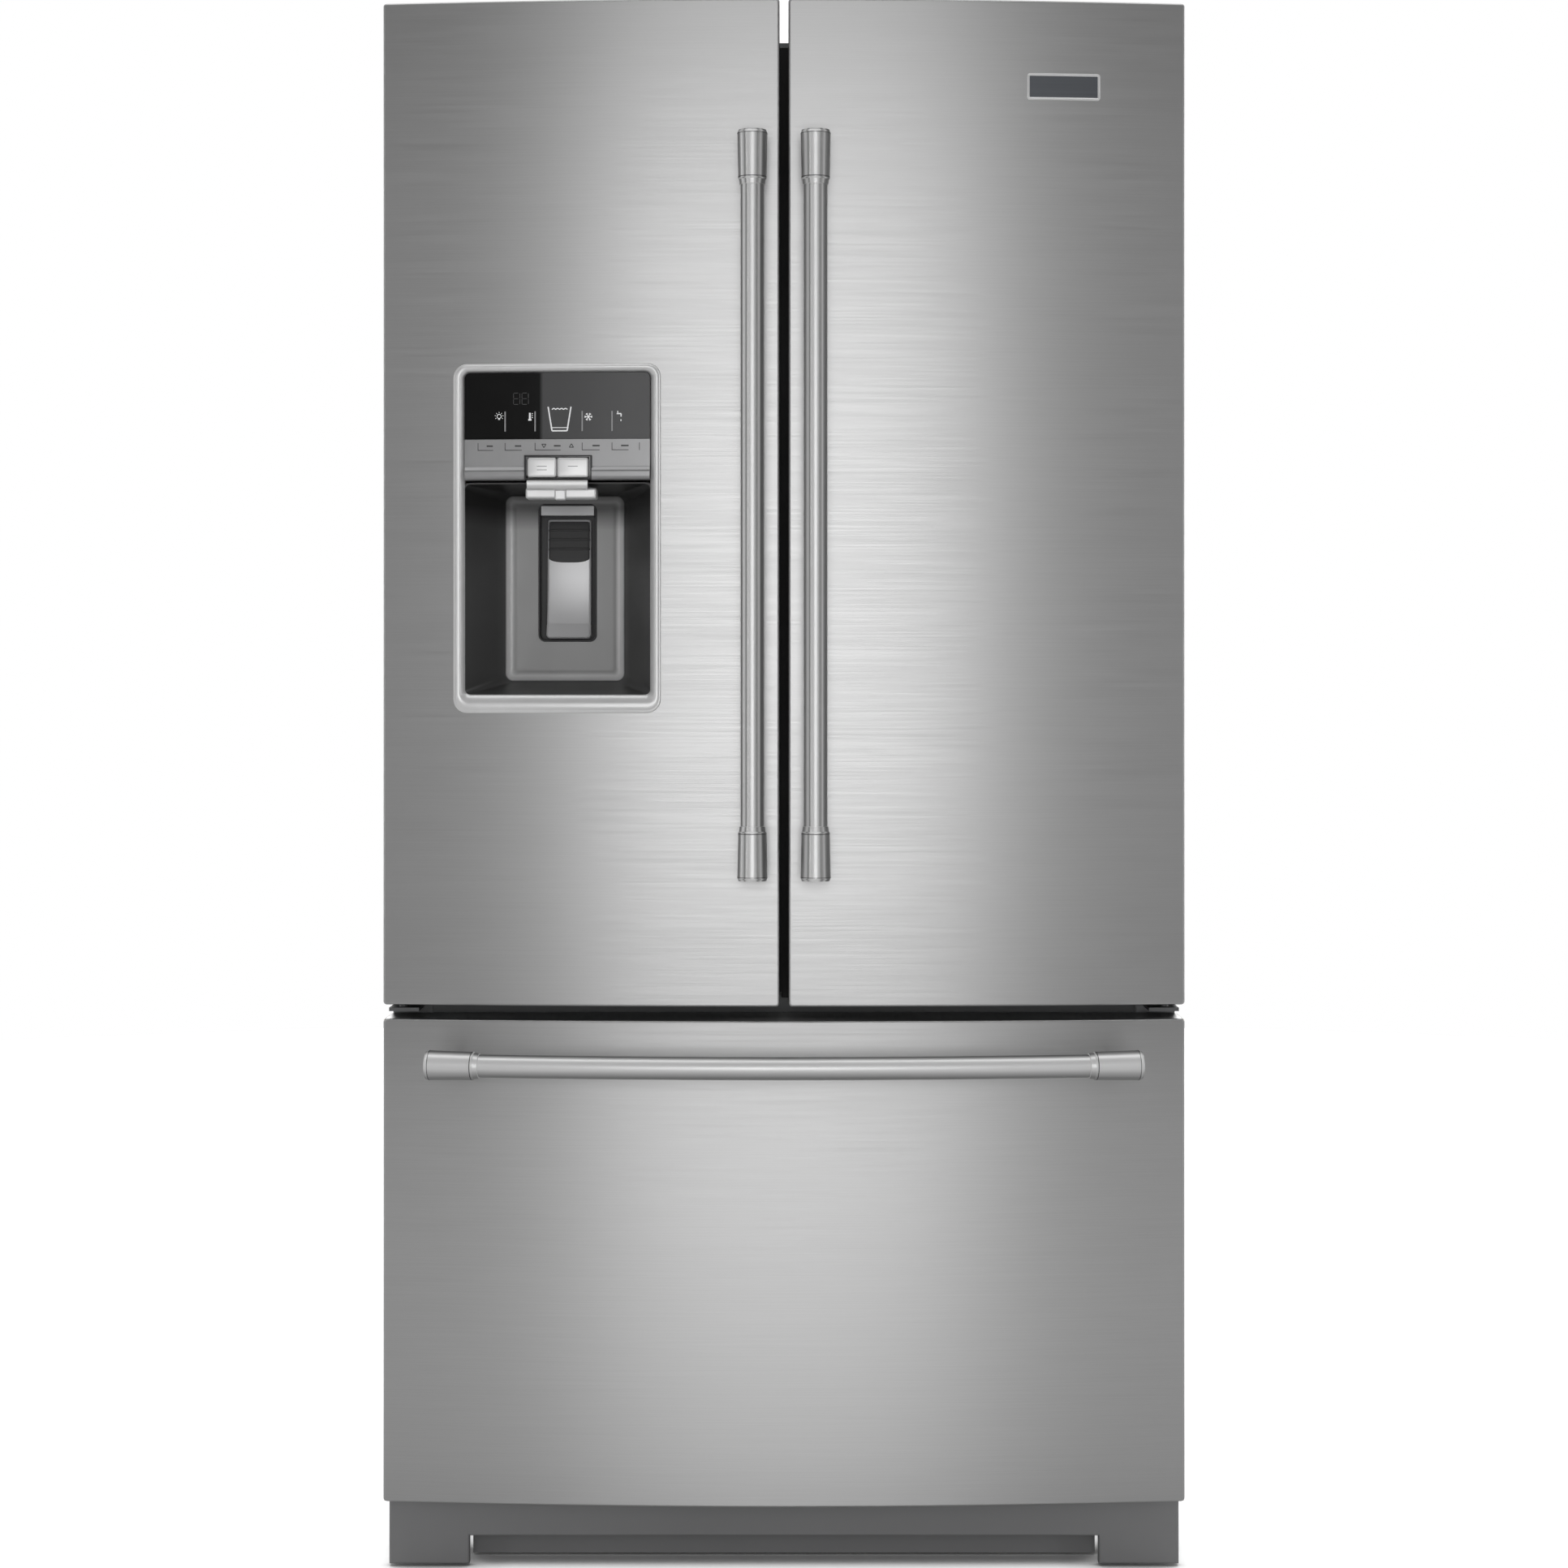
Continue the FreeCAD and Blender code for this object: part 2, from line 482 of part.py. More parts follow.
def build_dispenser():
    """Everything that shows in the left door's window, and the housing behind it."""
    outside = box(("bezel_left", "bezel_right"), ("door_edge - bow_rise - 20", "door_edge + 20"),
                  ("bezel_low", "bezel_high"))
    outside = fillet(outside, "bezel_round", lambda edge: along(edge, "y"))
    inside = box(("bezel_in_left", "bezel_in_right"), ("door_edge - bow_rise - 30", "door_edge + 30"),
                 ("bezel_in_low", "bezel_in_high"))
    inside = fillet(inside, "bezel_in_round", lambda edge: along(edge, "y"))
    ring = common(cut(outside, inside), bow("bezel_proud", "bezel_low - 5", "bezel_high + 5"))
    node("dispenser_bezel", cut(ring, bow(0, "bezel_low - 9", "bezel_high + 9")))
    low_block = slab("bezel_in_left - 2", "bezel_in_right + 2", "bezel_in_low - 10", "fascia_low - 2",
                     -2, "housing_back")
    high_block = box(("bezel_in_left - 2", "bezel_in_right + 2"), ("door_edge + 22", "housing_back"),
                     ("fascia_low - 2.5", "bezel_in_high + 2"))
    cavity = doc.addObject("Part::Wedge", "cavity")
    front_y = "door_edge - bow_rise - 5"
    for name, expression in (("Xmin", "bezel_in_left"), ("Xmax", "bezel_in_right"),
                             ("Zmin", "recess_floor"), ("Zmax", "recess_high"),
                             ("Ymin", front_y), ("Ymax", "recess_back"),
                             ("X2min", "recess_back_left"), ("X2max", "recess_back_right"),
                             ("Z2min", "recess_floor"), ("Z2max", "recess_back_high")):
        cavity.setExpression(name, bound(expression))
    well = box(("well_left", "well_right"), ("recess_back - 20", "recess_back + well_deep"),
               ("well_low", "well_high"))
    spout_room = box(("key_left - 2.5", "key_right + 8"), ("door_edge - 40", "door_edge + 30"),
                     ("fascia_low - 34", "fascia_low + 5"))
    node("dispenser_housing", cut(fuse([low_block, high_block]), fuse([cavity, well, spout_room])))
    display = slab("bezel_in_left + 0.3", "bezel_in_right - 0.3", "display_low + 0.3",
                   "bezel_in_high - 0.3", 1.5, "door_edge + 12")
    display_top = value("bezel_in_high") - 1
    display = fillet(display, "bezel_in_round",
                     lambda edge: along(edge, "y") and edge.BoundBox.ZMin > display_top)
    node("dispenser_display", display)
    fascia = slab("bezel_in_left + 0.3", "bezel_in_right - 0.3", "fascia_low", "display_low", 2.5,
                  "door_edge + 20")
    fascia = fillet(fascia, "bezel_in_round",
                    lambda edge: edge.BoundBox.YMax < value("door_edge") - 5
                    and edge.BoundBox.ZMax < value("fascia_low") + 0.5
                    and edge.BoundBox.XLength > 100)
    key_room = box(("key_left - key_gap", "key_right + key_gap"),
                   ("door_edge - bow_rise - 20", "door_edge - 5"),
                   ("key_low - key_gap", "key_high + key_gap"))
    node("dispenser_fascia", cut(fascia, key_room))
    front = value("door_edge") - value("bow_rise") + 4.5
    for name, left, right in (("key_ice", "key_left", "key_mid - key_gap / 2"),
                              ("key_water", "key_mid + key_gap / 2", "key_right")):
        key = box((left, right), (front, f"{front} + key_deep"), ("key_low", "key_high"))
        node(name, fillet(key, "edge_round", lambda edge: edge.BoundBox.YMax < front + 0.1))
    tray = box(("key_left - 2.5", "key_right + 8"), ("door_edge - 12", "door_edge + 30"),
               ("fascia_low - 22", "fascia_low - 0.5"))
    door_edge = value("door_edge")
    tray = fillet(tray, "bezel_in_round",
                  lambda edge: along(edge, "x") and edge.BoundBox.YMax < door_edge)
    nozzle = cylinder("pin_r + 0.5", ("fascia_low - 34", "fascia_low - 20"), "key_mid + 3.5",
                      "door_edge + 8")
    node("dispenser_spout", fuse([tray, nozzle]))
    build_paddle()


def build_paddle():
    """The paddle hangs from a pin at its top and leans out of the well by its rest tilt."""
    body = doc.addObject("PartDesign::Body", "paddle")
    length = "(paddle_top - paddle_low)"
    corners = [("-paddle_thick / 2", 0), ("paddle_thick / 2", 0), ("paddle_thick / 2", f"-{length}"),
               ("-paddle_thick / 2 - 7", f"-{length}"), ("-paddle_thick / 2 - 1", f"-{length} + 14")]
    sketch = sketch_profile(body, "YZ_Plane", corners)
    pad = body.newObject("PartDesign::Pad", "plate")
    pad.Profile = sketch
    pad.setExpression("Length", bound("paddle_right - paddle_left"))
    pad.Midplane = True
    body.Tip = pad
    body.Placement.Rotation = FreeCAD.Rotation(FreeCAD.Vector(1, 0, 0), -value("paddle_tilt"))
    place(body, "(paddle_left + paddle_right) / 2", "paddle_y", "paddle_top")
    pin = cylinder("flip_pin", ("paddle_left - 5", "paddle_right + 1.5"), "paddle_y", "paddle_top", "x")
    node("dispenser_paddle", fuse([body, pin]))


def build_badge():
    """A small blank plate high on the right door."""
    plate = box(("badge_left", "badge_right"), ("door_edge - bow_rise", "door_edge"),
                ("badge_low", "badge_high"))
    plate = common(plate, bow("badge_proud", "badge_low - 5", "badge_high + 5"))
    node("badge_plate", cut(plate, bow(0, "badge_low - 10", "badge_high + 10")))


# ---------------------------------------------------------------- inside
def tub(x, y, z, wall, name="tub"):
    """An open-topped box with rounded upright corners."""
    outside = fillet(box(x, y, z), "bezel_in_round", lambda edge: along(edge, "z"))
    inside = box((f"({x[0]}) + {wall}", f"({x[1]}) - {wall}"),
                 (f"({y[0]}) + {wall}", f"({y[1]}) - {wall}"),
                 (f"({z[0]}) + {wall}", f"({z[1]}) + 5"))
    inside = fillet(inside, "corner", lambda edge: along(edge, "z"))
    return cut(outside, inside, name)


# heights of what stands in the fridge: left and right shelves, door bins, and the dairy box
SHELVES = {"left": (1010, 1170, 1310), "right": (1010, 1170, 1370)}
BINS = {"door_left": (750, 870, 1400, 1560), "door_right": (750, 960, 1170)}
DAIRY_Z = (1440, 1540)


def build_shelves():
    """Glass in frames, the ladders and duct behind them, the ice maker's box and the crispers."""
    frames, panes = [], []
    spans = [(side, height) for side in (-1, 1) for height in SHELVES["left" if side < 0 else "right"]]
    spaces = [(mirrored(side, "shelf_gap", "cavity_half - shelf_gap"), height) for side, height in spans]
    spaces.append((("-cavity_half + shelf_gap", "cavity_half - shelf_gap"), 905))
    for (left, right), height in spaces:
        plate = box((left, right), ("shelf_front", "shelf_back"), (height, f"{height} + shelf_thick"))
        hole = box((f"({left}) + rim", f"({right}) - rim"), ("shelf_front + rim", "shelf_back - rim"),
                   (f"{height} - 5", f"{height} + shelf_thick + 5"))
        seat = box((f"({left}) + rim / 2", f"({right}) - rim / 2"),
                   ("shelf_front + rim / 2", "shelf_back - rim / 2"),
                   (f"{height} + shelf_thick - glass", f"{height} + shelf_thick + 5"))
        frames.append(cut(plate, fuse([hole, seat])))
        panes.append(box((f"({left}) + rim / 2", f"({right}) - rim / 2"),
                         ("shelf_front + rim / 2", "shelf_back - rim / 2"),
                         (f"{height} + shelf_thick - glass", f"{height} + shelf_thick")))
    node("shelf_frames", group(frames))
    node("shelf_glass", group(panes))
    ladders = [box((x, x + 14), ("shelf_back + 1", "cavity_back"), (940, 1430))
               for x in (-392, -120, 106, 378)]
    node("shelf_ladders", group(ladders))
    node("air_duct_cover", box((-95, 95), ("shelf_back + 1", "cavity_back"), (940, 1660)))
    maker = box(("-cavity_half + 1", "maker_right"), ("shelf_front + 10", "cavity_back - 1"),
                ("maker_low", "fresh_high - 1"))
    under = value("maker_low") + 5
    maker = fillet(maker, "bezel_round", lambda edge: along(edge, "y") and edge.BoundBox.ZMax < under)
    node("ice_maker_housing", maker)
    crisper_y = ("shelf_front", "crisper_back")
    crisper_z = ("crisper_low", "crisper_high")
    for name, side in (("crisper_left", -1), ("crisper_right", 1)):
        node(name, tub(mirrored(side, "crisper_in", "crisper_out"), crisper_y, crisper_z,
                       "crisper_wall"))


def build_bins(door, side):
    """The door's bins and, on the right, the dairy box with its hinged lid."""
    span = mirrored(side, "rib_in + rib_side + 1", "rib_out - rib_side - 1")
    tubs = [tub(span, ("door_rear", "bin_back"), (low, f"{low} + bin_high"), "bin_wall")
            for low in BINS[door]]
    if side > 0:
        case = box(span, ("door_rear", "bin_back"), DAIRY_Z)
        room = box((f"({span[0]}) + bin_wall", f"({span[1]}) - bin_wall"),
                   ("door_rear + bin_wall", "bin_back + 5"),
                   (f"{DAIRY_Z[0]} + bin_wall", f"{DAIRY_Z[1]} + 5"))
        front = box(span, ("bin_back - bin_wall", "bin_back"), (DAIRY_Z[0], DAIRY_Z[0] + 40))
        tubs.append(fuse([cut(case, room), front]))
        lid = box(span, ("lid_hinge_y", "bin_back + 3"), (f"{DAIRY_Z[1]} + 0.5", f"{DAIRY_Z[1]} + 3.5"))
        barrel = cylinder(3, span, "lid_hinge_y", f"{DAIRY_Z[1]} + 5", "x")
        flap = box(span, ("bin_back + 0.5", "bin_back + 3"), (DAIRY_Z[0] + 45, f"{DAIRY_Z[1]} + 3.5"))
        node("dairy_lid", fuse([lid, flap, barrel]))
    node(f"{door}_bins", group(tubs))


def build_freezer_inside():
    """Three-part slides, the deep basket that rides on them and the shallow one on its ledges."""
    y = ("door_rear", "slide_back")
    z = ("slide_low", "slide_high")
    steps = "slide_sheet + slide_gap"
    members = {"freezer_slide_inner": ("slide_in", y),
               "freezer_slide_middle": (f"slide_in + {steps}", ("case_front + 6", "slide_back")),
               "freezer_slide_channel": (f"slide_in + 2 * ({steps})",
                                         ("case_front + 3", "slide_back + 15"))}
    for name, (start, span) in members.items():
        end = "cavity_half" if name.endswith("channel") else f"{start} + slide_sheet"
        node(name, group([box(mirrored(side, start, end), span, z) for side in (-1, 1)]))
    basket = tub(("-basket_half", "basket_half"), ("case_front + 19", "slide_back - 5"),
                 ("basket_low", "basket_high"), "basket_wall")
    rims = [box(mirrored(side, "basket_half - 1", "slide_in + slide_sheet"),
                ("case_front + 19", "slide_back - 5"),
                ("slide_high", "slide_high + 5")) for side in (-1, 1)]
    node("freezer_lower_basket", fuse([basket] + rims))
    upper = tub(("-upper_half", "upper_half"), ("case_front + 50", "slide_back - 5"),
                ("upper_low", "upper_high"), "basket_wall")
    rims = [box(mirrored(side, "upper_half - 1", "cavity_half - 6"),
                ("case_front + 50", "slide_back - 5"),
                ("ledge_top + 0.5", "upper_high")) for side in (-1, 1)]
    node("freezer_upper_basket", fuse([upper] + rims))


# ---------------------------------------------------------------- hinges, base and machine bay
def build_hinges():
    """Top hinges with their covers on the case, and middle hinges under the doors."""
    tops, covers, middles = [], [], []
    plate_span = ("hinge_out - 32", "hinge_out + 12")
    arm_in = "hinge_out - 19"
    for side in (-1, 1):
        x = "hinge_out" if side > 0 else "-hinge_out"
        base = box(mirrored(side, *plate_span), ("case_front + 6", -150),
                   ("case_top", "case_top + hinge_sheet"))
        web = box(mirrored(side, *plate_span), ("case_front + 6", "case_front + 6 + hinge_sheet"),
                  ("case_top", "total_top"))
        arm = box(mirrored(side, arm_in, "case_half"),
                  (f"{HINGE_Y} - 17", "case_front + 6 + hinge_sheet"),
                  ("total_top - hinge_sheet", "total_top"))
        arm = fillet(arm, "bezel_in_round", lambda edge: along(edge, "z") and edge.BoundBox.YMax < -320)
        pin = cylinder("pin_r", ("door_high - cap + 1", "total_top"), x, HINGE_Y)
        tops.append(fuse([base, web, arm, pin]))
        hood = box(mirrored(side, "hood_in", "case_half - 0.5"), ("case_front + 11", "hood_back"),
                   ("case_top", "total_top"))
        hood = fillet(hood, "bezel_in_round",
                      lambda edge: along(edge, "z") or (along(edge, "y") and edge.BoundBox.ZMin > 1770))
        room = box(mirrored(side, "hood_in + 3", "case_half - 3.5"),
                   ("case_front + 14", "hood_back - 3"), ("case_top - 5", "total_top - 3"))
        notch = box(mirrored(side, "hinge_out - 33", "hinge_out + 13"),
                    ("case_front", "case_front + 20"), ("case_top - 5", "case_top + hinge_sheet + 1"))
        covers.append(cut(hood, fuse([room, notch])))
        flange = box(mirrored(side, "hinge_out - 29", "hinge_out + 15"),
                     ("case_front - 2.5", "case_front"), ("drawer_high - 3", "door_low + 3"))
        shelf = box(mirrored(side, arm_in, "hinge_out + 15"), (f"{HINGE_Y} - 17", "case_front"),
                    ("door_low - 10", "door_low - 6"))
        pin = cylinder("pin_r", ("door_low - 8", "door_low + cap - 2"), x, HINGE_Y)
        middles.append(fuse([flange, shelf, pin]))
    node("door_hinges", group(tops + middles))
    node("hinge_covers", group(covers))


def build_base():
    """The frame under the case, its rear rollers and front feet, and the grille."""
    rail_span, rail_z = ("rail_in", "rail_out"), ("machine_low", "machine_low + 14")
    rails = [box(mirrored(side, *rail_span), ("case_front + 10", 440), rail_z) for side in (-1, 1)]
    crossing = [box(("-rail_in", "rail_in"), (y, y + 30), rail_z) for y in (-262, 40, 409)]
    posts = [box(mirrored(side, *rail_span), (y, y + 30), ("machine_low + 13", "front_low"))
             for side in (-1, 1) for y in (-262, 180)]
    brackets, wheels, axles = [], [], []
    for side in (-1, 1):
        for x in (392, 424):
            brackets.append(box(mirrored(side, x, x + 3), ("roller_y - 30", "roller_y + 30"),
                                (14, "machine_low + 1")))
        wheels.append(cylinder("roller_r", mirrored(side, 397, 422), "roller_y", "roller_r", "x"))
        axles.append(cylinder("axle_r", mirrored(side, 391, 429), "roller_y", "roller_r", "x"))
    room = [cylinder("axle_r + pin_fit", ("-rail_out", "rail_out"), "roller_y", "roller_r", "x")]
    room += [box(mirrored(side, 395.5, 423.5), ("roller_y - 26", "roller_y + 26"),
                 (25, "machine_low + 20")) for side in (-1, 1)]
    node("base_frame", cut(fuse(rails + crossing + posts + brackets), group(room)))
    node("rollers", group([fuse([wheel, axle]) for wheel, axle in zip(wheels, axles)]))
    feet = []
    for side in (-1, 1):
        foot = revolved([(0, 0), ("foot_r", 0), ("foot_r", 6), (12, 12), (6, 14), (6, "machine_low"),
                         (0, "machine_low")], "foot")
        feet.append(place(foot, "foot_x" if side > 0 else "-foot_x", "foot_y", 0))
    node("leveling_feet", group(feet))
    thick = "grille_front + grille_thick"
    band = box(("-grille_half", "grille_half"), ("grille_front", thick), ("grille_band", "grille_high"))
    legs = [box(mirrored(side, "leg_in", "grille_half"), ("grille_front", thick),
                (3, "grille_high")) for side in (-1, 1)]
    face = fillet(fuse([band] + legs), "edge_round",
                  lambda edge: edge.BoundBox.YMax < value("grille_front") + 0.1)
    kick = box(("-leg_in", "leg_in"), (-268, -264), (3, "grille_band + 8"))
    web = box(("-leg_in", "leg_in"), (f"{thick} - 1", -264), ("grille_band + 4", "grille_band + 8"))
    node("base_grille", fuse([face, kick, web]))


def fan_blade(turn):
    """A flat blade pitched on the fan's axle and turned about it."""
    blade = doc.addObject("Part::Box", "blade")
    blade.Length = 2
    blade.setExpression("Width", bound("fan_r - 12"))
    blade.Height = 40
    hub = FreeCAD.Placement(FreeCAD.Vector(0, value("fan_y"), value("fan_z")),
                            FreeCAD.Rotation(FreeCAD.Vector(1, 0, 0), turn))
    pitch = FreeCAD.Placement(FreeCAD.Vector(0, 10, 0), FreeCAD.Rotation(FreeCAD.Vector(0, 1, 0), 30))
    centred = FreeCAD.Placement(FreeCAD.Vector(-1, 0, -20), FreeCAD.Rotation())
    blade.Placement = hub * pitch * centred
    return blade


def build_machine_bay():
    """The slotted rear cover, and the compressor, condenser, fan and inlet behind it."""
    plate = box(("-case_half", "case_half"), ("case_back - sheet", "case_back"),
                ("machine_low", "bay_top"))
    slots = [box((x, x + 60), ("case_back - 10", "case_back + 10"), (z, z + 6))
             for x in range(-330, 331, 90) for z in range(90, 250, 16)]
    node("machine_cover", cut(plate, group(slots)))
    can = revolved([(0, 0), ("can_r - 20", 0), ("can_r", 20), ("can_r", 130), ("can_r - 6", 150),
                    ("can_r - 30", 168), (0, 175)], "can")
    place(can, -210, 348, 52)
    tray = box((-300, -120), (262, 434), (44, 53))
    node("compressor", fuse([can, tray]))
    tubes = [cylinder(3, (70, 300), y, z, "x") for y in (280, 300, 320) for z in range(70, 250, 20)]
    ends = [box((x, x + 2), (268, 332), (44, 262)) for x in (70, 298)]
    node("condenser", fuse(ends + tubes))
    hub = cylinder("fan_hub", (-12, 12), "fan_y", "fan_z", "x")
    blades = [fan_blade(turn) for turn in range(0, 360, 72)]
    bore = cylinder("axle_r + pin_fit", (-20, 20), "fan_y", "fan_z", "x")
    node("condenser_fan", cut(fuse([hub] + blades), bore))
    motor = cylinder(24, (16, 56), "fan_y", "fan_z", "x")
    shaft = cylinder("axle_r", (-10, 20), "fan_y", "fan_z", "x")
    stand = box((30, 50), (330, 360), (44, 140))
    node("fan_motor", fuse([motor, shaft, stand]))
    node("power_inlet", box((330, 372), ("bay_front + 180", "case_back - sheet - 0.5"), (44, 76)))


build_case()
build_door("door_left", -1)
build_door("door_right", 1)
build_mullion()
build_drawer_front()
build_dispenser()
build_badge()
build_shelves()
build_bins("door_left", -1)
build_bins("door_right", 1)
build_freezer_inside()
build_hinges()
build_base()
build_machine_bay()
doc.recompute()

faults = [item.Name for item in doc.Objects if "Invalid" in item.State or "Error" in item.State]
faults += [name for name, item in NODES.items() if item.Shape.isNull() or not item.Shape.isValid()]
if faults:
    raise SystemExit(f"failed objects: {faults}")
for name, item in NODES.items():
    item.Shape.exportStep(f"parts/{name}.step")
print(len(NODES), "sub-parts")
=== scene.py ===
"""Looks of a french door refrigerator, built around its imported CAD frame. Metres, +Z up."""
import json
import math

import bmesh
import bpy
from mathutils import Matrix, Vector


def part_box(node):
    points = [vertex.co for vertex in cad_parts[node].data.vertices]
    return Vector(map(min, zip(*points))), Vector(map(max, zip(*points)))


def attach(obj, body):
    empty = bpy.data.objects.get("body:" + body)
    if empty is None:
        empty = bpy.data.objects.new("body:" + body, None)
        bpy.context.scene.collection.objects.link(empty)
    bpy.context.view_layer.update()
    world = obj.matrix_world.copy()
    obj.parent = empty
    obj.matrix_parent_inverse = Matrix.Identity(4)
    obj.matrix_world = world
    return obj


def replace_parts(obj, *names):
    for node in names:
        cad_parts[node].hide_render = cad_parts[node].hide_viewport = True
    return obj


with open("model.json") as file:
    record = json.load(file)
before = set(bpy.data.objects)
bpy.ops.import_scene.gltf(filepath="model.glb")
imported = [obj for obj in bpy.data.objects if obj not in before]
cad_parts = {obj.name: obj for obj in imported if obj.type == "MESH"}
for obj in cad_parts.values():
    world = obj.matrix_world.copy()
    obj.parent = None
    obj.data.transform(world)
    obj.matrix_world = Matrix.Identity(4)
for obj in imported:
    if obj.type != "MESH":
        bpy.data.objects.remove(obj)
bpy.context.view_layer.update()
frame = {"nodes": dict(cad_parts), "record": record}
MM = 0.001
NODES = frame["nodes"]
SLOT_OF = {part["node"]: part["material_slot"] for part in frame["record"]["subparts"]}


# ---------------------------------------------------------------- materials
class Shader:
    """A principled material with helpers for object-space grain, mottle and bump."""

    def __init__(self, name, color, rough, metal=0.0, **sockets):
        self.material = bpy.data.materials.new(name)
        self.material.use_nodes = True
        self.tree = self.material.node_tree
        self.bsdf = self.tree.nodes["Principled BSDF"]
        self.color = color
        self.rough = rough
        self.put("Base Color", (*color, 1.0))
        self.put("Roughness", rough)
        self.put("Metallic", metal)
        for socket, number in sockets.items():
            self.put(socket.replace("_", " "), number)
        coords = self.tree.nodes.new("ShaderNodeTexCoord")
        self.coords = coords.outputs["Object"]
        self.generated = coords.outputs["Generated"]
        self.facing = coords.outputs["Normal"]
        self.last_normal = None

    def put(self, socket, number):
        self.bsdf.inputs[socket].default_value = number

    def link(self, source, socket):
        self.tree.links.new(source, self.bsdf.inputs[socket])

    def noise(self, scale, detail=3.0, stretch=(1, 1, 1), kind="ShaderNodeTexNoise"):
        mapping = self.tree.nodes.new("ShaderNodeMapping")
        mapping.inputs["Scale"].default_value = stretch
        self.tree.links.new(self.coords, mapping.inputs["Vector"])
        texture = self.tree.nodes.new(kind)
        texture.inputs["Scale"].default_value = scale
        if "Detail" in texture.inputs:
            texture.inputs["Detail"].default_value = detail
        self.tree.links.new(mapping.outputs["Vector"], texture.inputs["Vector"])
        return texture.outputs["Distance" if kind.endswith("Voronoi") else "Fac"]

    def spread(self, source, low, high, from_low=0.3, from_high=0.7):
        """The source remapped from from_low..from_high to low..high."""
        node = self.tree.nodes.new("ShaderNodeMapRange")
        node.inputs["From Min"].default_value = from_low
        node.inputs["From Max"].default_value = from_high
        node.inputs["To Min"].default_value = low
        node.inputs["To Max"].default_value = high
        self.tree.links.new(source, node.inputs["Value"])
        return node.outputs["Result"]

    def along(self, vector, axis):
        """One axis of a coordinate or normal."""
        node = self.tree.nodes.new("ShaderNodeSeparateXYZ")
        self.tree.links.new(vector, node.inputs["Vector"])
        return node.outputs[axis]

    def ramp(self, source, stops, blend="LINEAR"):
        """A grey ramp through (place, tone) stops."""
        node = self.tree.nodes.new("ShaderNodeValToRGB")
        node.color_ramp.interpolation = blend
        while len(node.color_ramp.elements) < len(stops):
            node.color_ramp.elements.new(0.5)
        for element, (place, tone) in zip(node.color_ramp.elements, stops):
            element.position = place
            element.color = (tone, tone, tone, 1.0)
        self.tree.links.new(source, node.inputs["Fac"])
        return node.outputs["Color"]

    def color_mix(self, blend="MIX"):
        node = self.tree.nodes.new("ShaderNodeMix")
        node.data_type = "RGBA"
        node.blend_type = blend
        return node

    def times(self, one, other):
        node = self.color_mix("MULTIPLY")
        node.inputs["Factor"].default_value = 1.0
        self.tree.links.new(one, node.inputs["A"])
        self.tree.links.new(other, node.inputs["B"])
        return node.outputs["Result"]

    def color_between(self, factor, first, second):
        """Base colour from first (factor 0) to second (factor 1)."""
        node = self.color_mix()
        node.inputs["A"].default_value = (*first, 1.0)
        node.inputs["B"].default_value = (*second, 1.0)
        self.tree.links.new(factor, node.inputs["Factor"])
        self.link(node.outputs["Result"], "Base Color")

    def vary_rough(self, source, amount):
        self.link(self.spread(source, self.rough - amount, self.rough + amount), "Roughness")
        return self

    def vary_color(self, source, amount):
        self.color_between(self.spread(source, 0.0, 1.0),
                           [channel * (1 - amount) for channel in self.color],
                           [channel * (1 + amount) for channel in self.color])
        return self

    def bump(self, source, height, strength):
        """A bump, its height in metres, over any earlier one."""
        node = self.tree.nodes.new("ShaderNodeBump")
        node.inputs["Strength"].default_value = strength
        node.inputs["Distance"].default_value = height
        self.tree.links.new(source, node.inputs["Height"])
        if self.last_normal:
            self.tree.links.new(self.last_normal, node.inputs["Normal"])
        self.last_normal = node.outputs["Normal"]
        self.link(self.last_normal, "Normal")
        return self

    def tangent(self):
        """Grain that runs round the Z axis."""
        node = self.tree.nodes.new("ShaderNodeTangent")
        node.direction_type = "RADIAL"
        node.axis = "Z"
        self.link(node.outputs["Tangent"], "Tangent")
        return self


GRAIN_BUMP = 0.00002
PANEL_GREY = 0.62
# Painted shade: the door skins' grey from the bottom (0) to the top (1) of each panel.
PANEL_PAINTED_SHADE = ((0.0, 0.55), (0.12, 0.60), (0.38, 0.64), (0.75, 0.64), (0.9, 0.59), (1.0, 0.52))
LEVEL_GRAIN = (9.0, 9.0, 1400.0)
EVEN_GRAIN = (20.0, 20.0, 20.0)
# Painted reflection: greys by the way a handle's face looks, from one side (0) to the other (1).
BAR_PAINTED_REFLECTION = ((0.0, 0.30), (0.05, 0.28), (0.13, 0.92), (0.19, 0.88), (0.24, 0.34),
             (0.30, 0.80), (0.38, 0.97), (0.56, 0.92), (0.62, 0.80), (0.68, 0.30),
             (0.73, 0.45), (0.79, 0.84), (0.86, 0.22), (0.95, 0.20), (1.0, 0.35))
# Painted reflection on the freezer's bowed bar, from faces that look down (0) to faces that look up
# (1).
BOWED_BAR_PAINTED_REFLECTION = ((0.0, 0.30), (0.12, 0.34), (0.30, 0.62), (0.42, 0.86), (0.60, 0.97),
                   (0.86, 0.95), (0.93, 0.60), (0.98, 0.24), (1.0, 0.20))
# Greys of the pressed cavity, from faces that look sideways (0) to the back wall (1): painted shade
# on the side walls, top and floor, and a painted highlight on the corner beads.
RECESS_SHADE_AND_HIGHLIGHT = ((0.0, 0.10), (0.42, 0.10), (0.62, 1.0), (0.88, 1.0), (0.985, 0.36))
# Painted shade that darkens the top of the cavity.
RECESS_SHADE_FROM, RECESS_SHADE_TO, RECESS_SHADE = 0.80, 0.90, 0.25
# The display glass's black, and the grey of a reflection painted across its right part.
GLASS_BLACK, REFLECTED_GREY = (0.010, 0.010, 0.010), (0.12, 0.12, 0.122)
# Where the painted reflection begins, across the glass's width.
REFLECTION_EDGE = (0.405, 0.425)


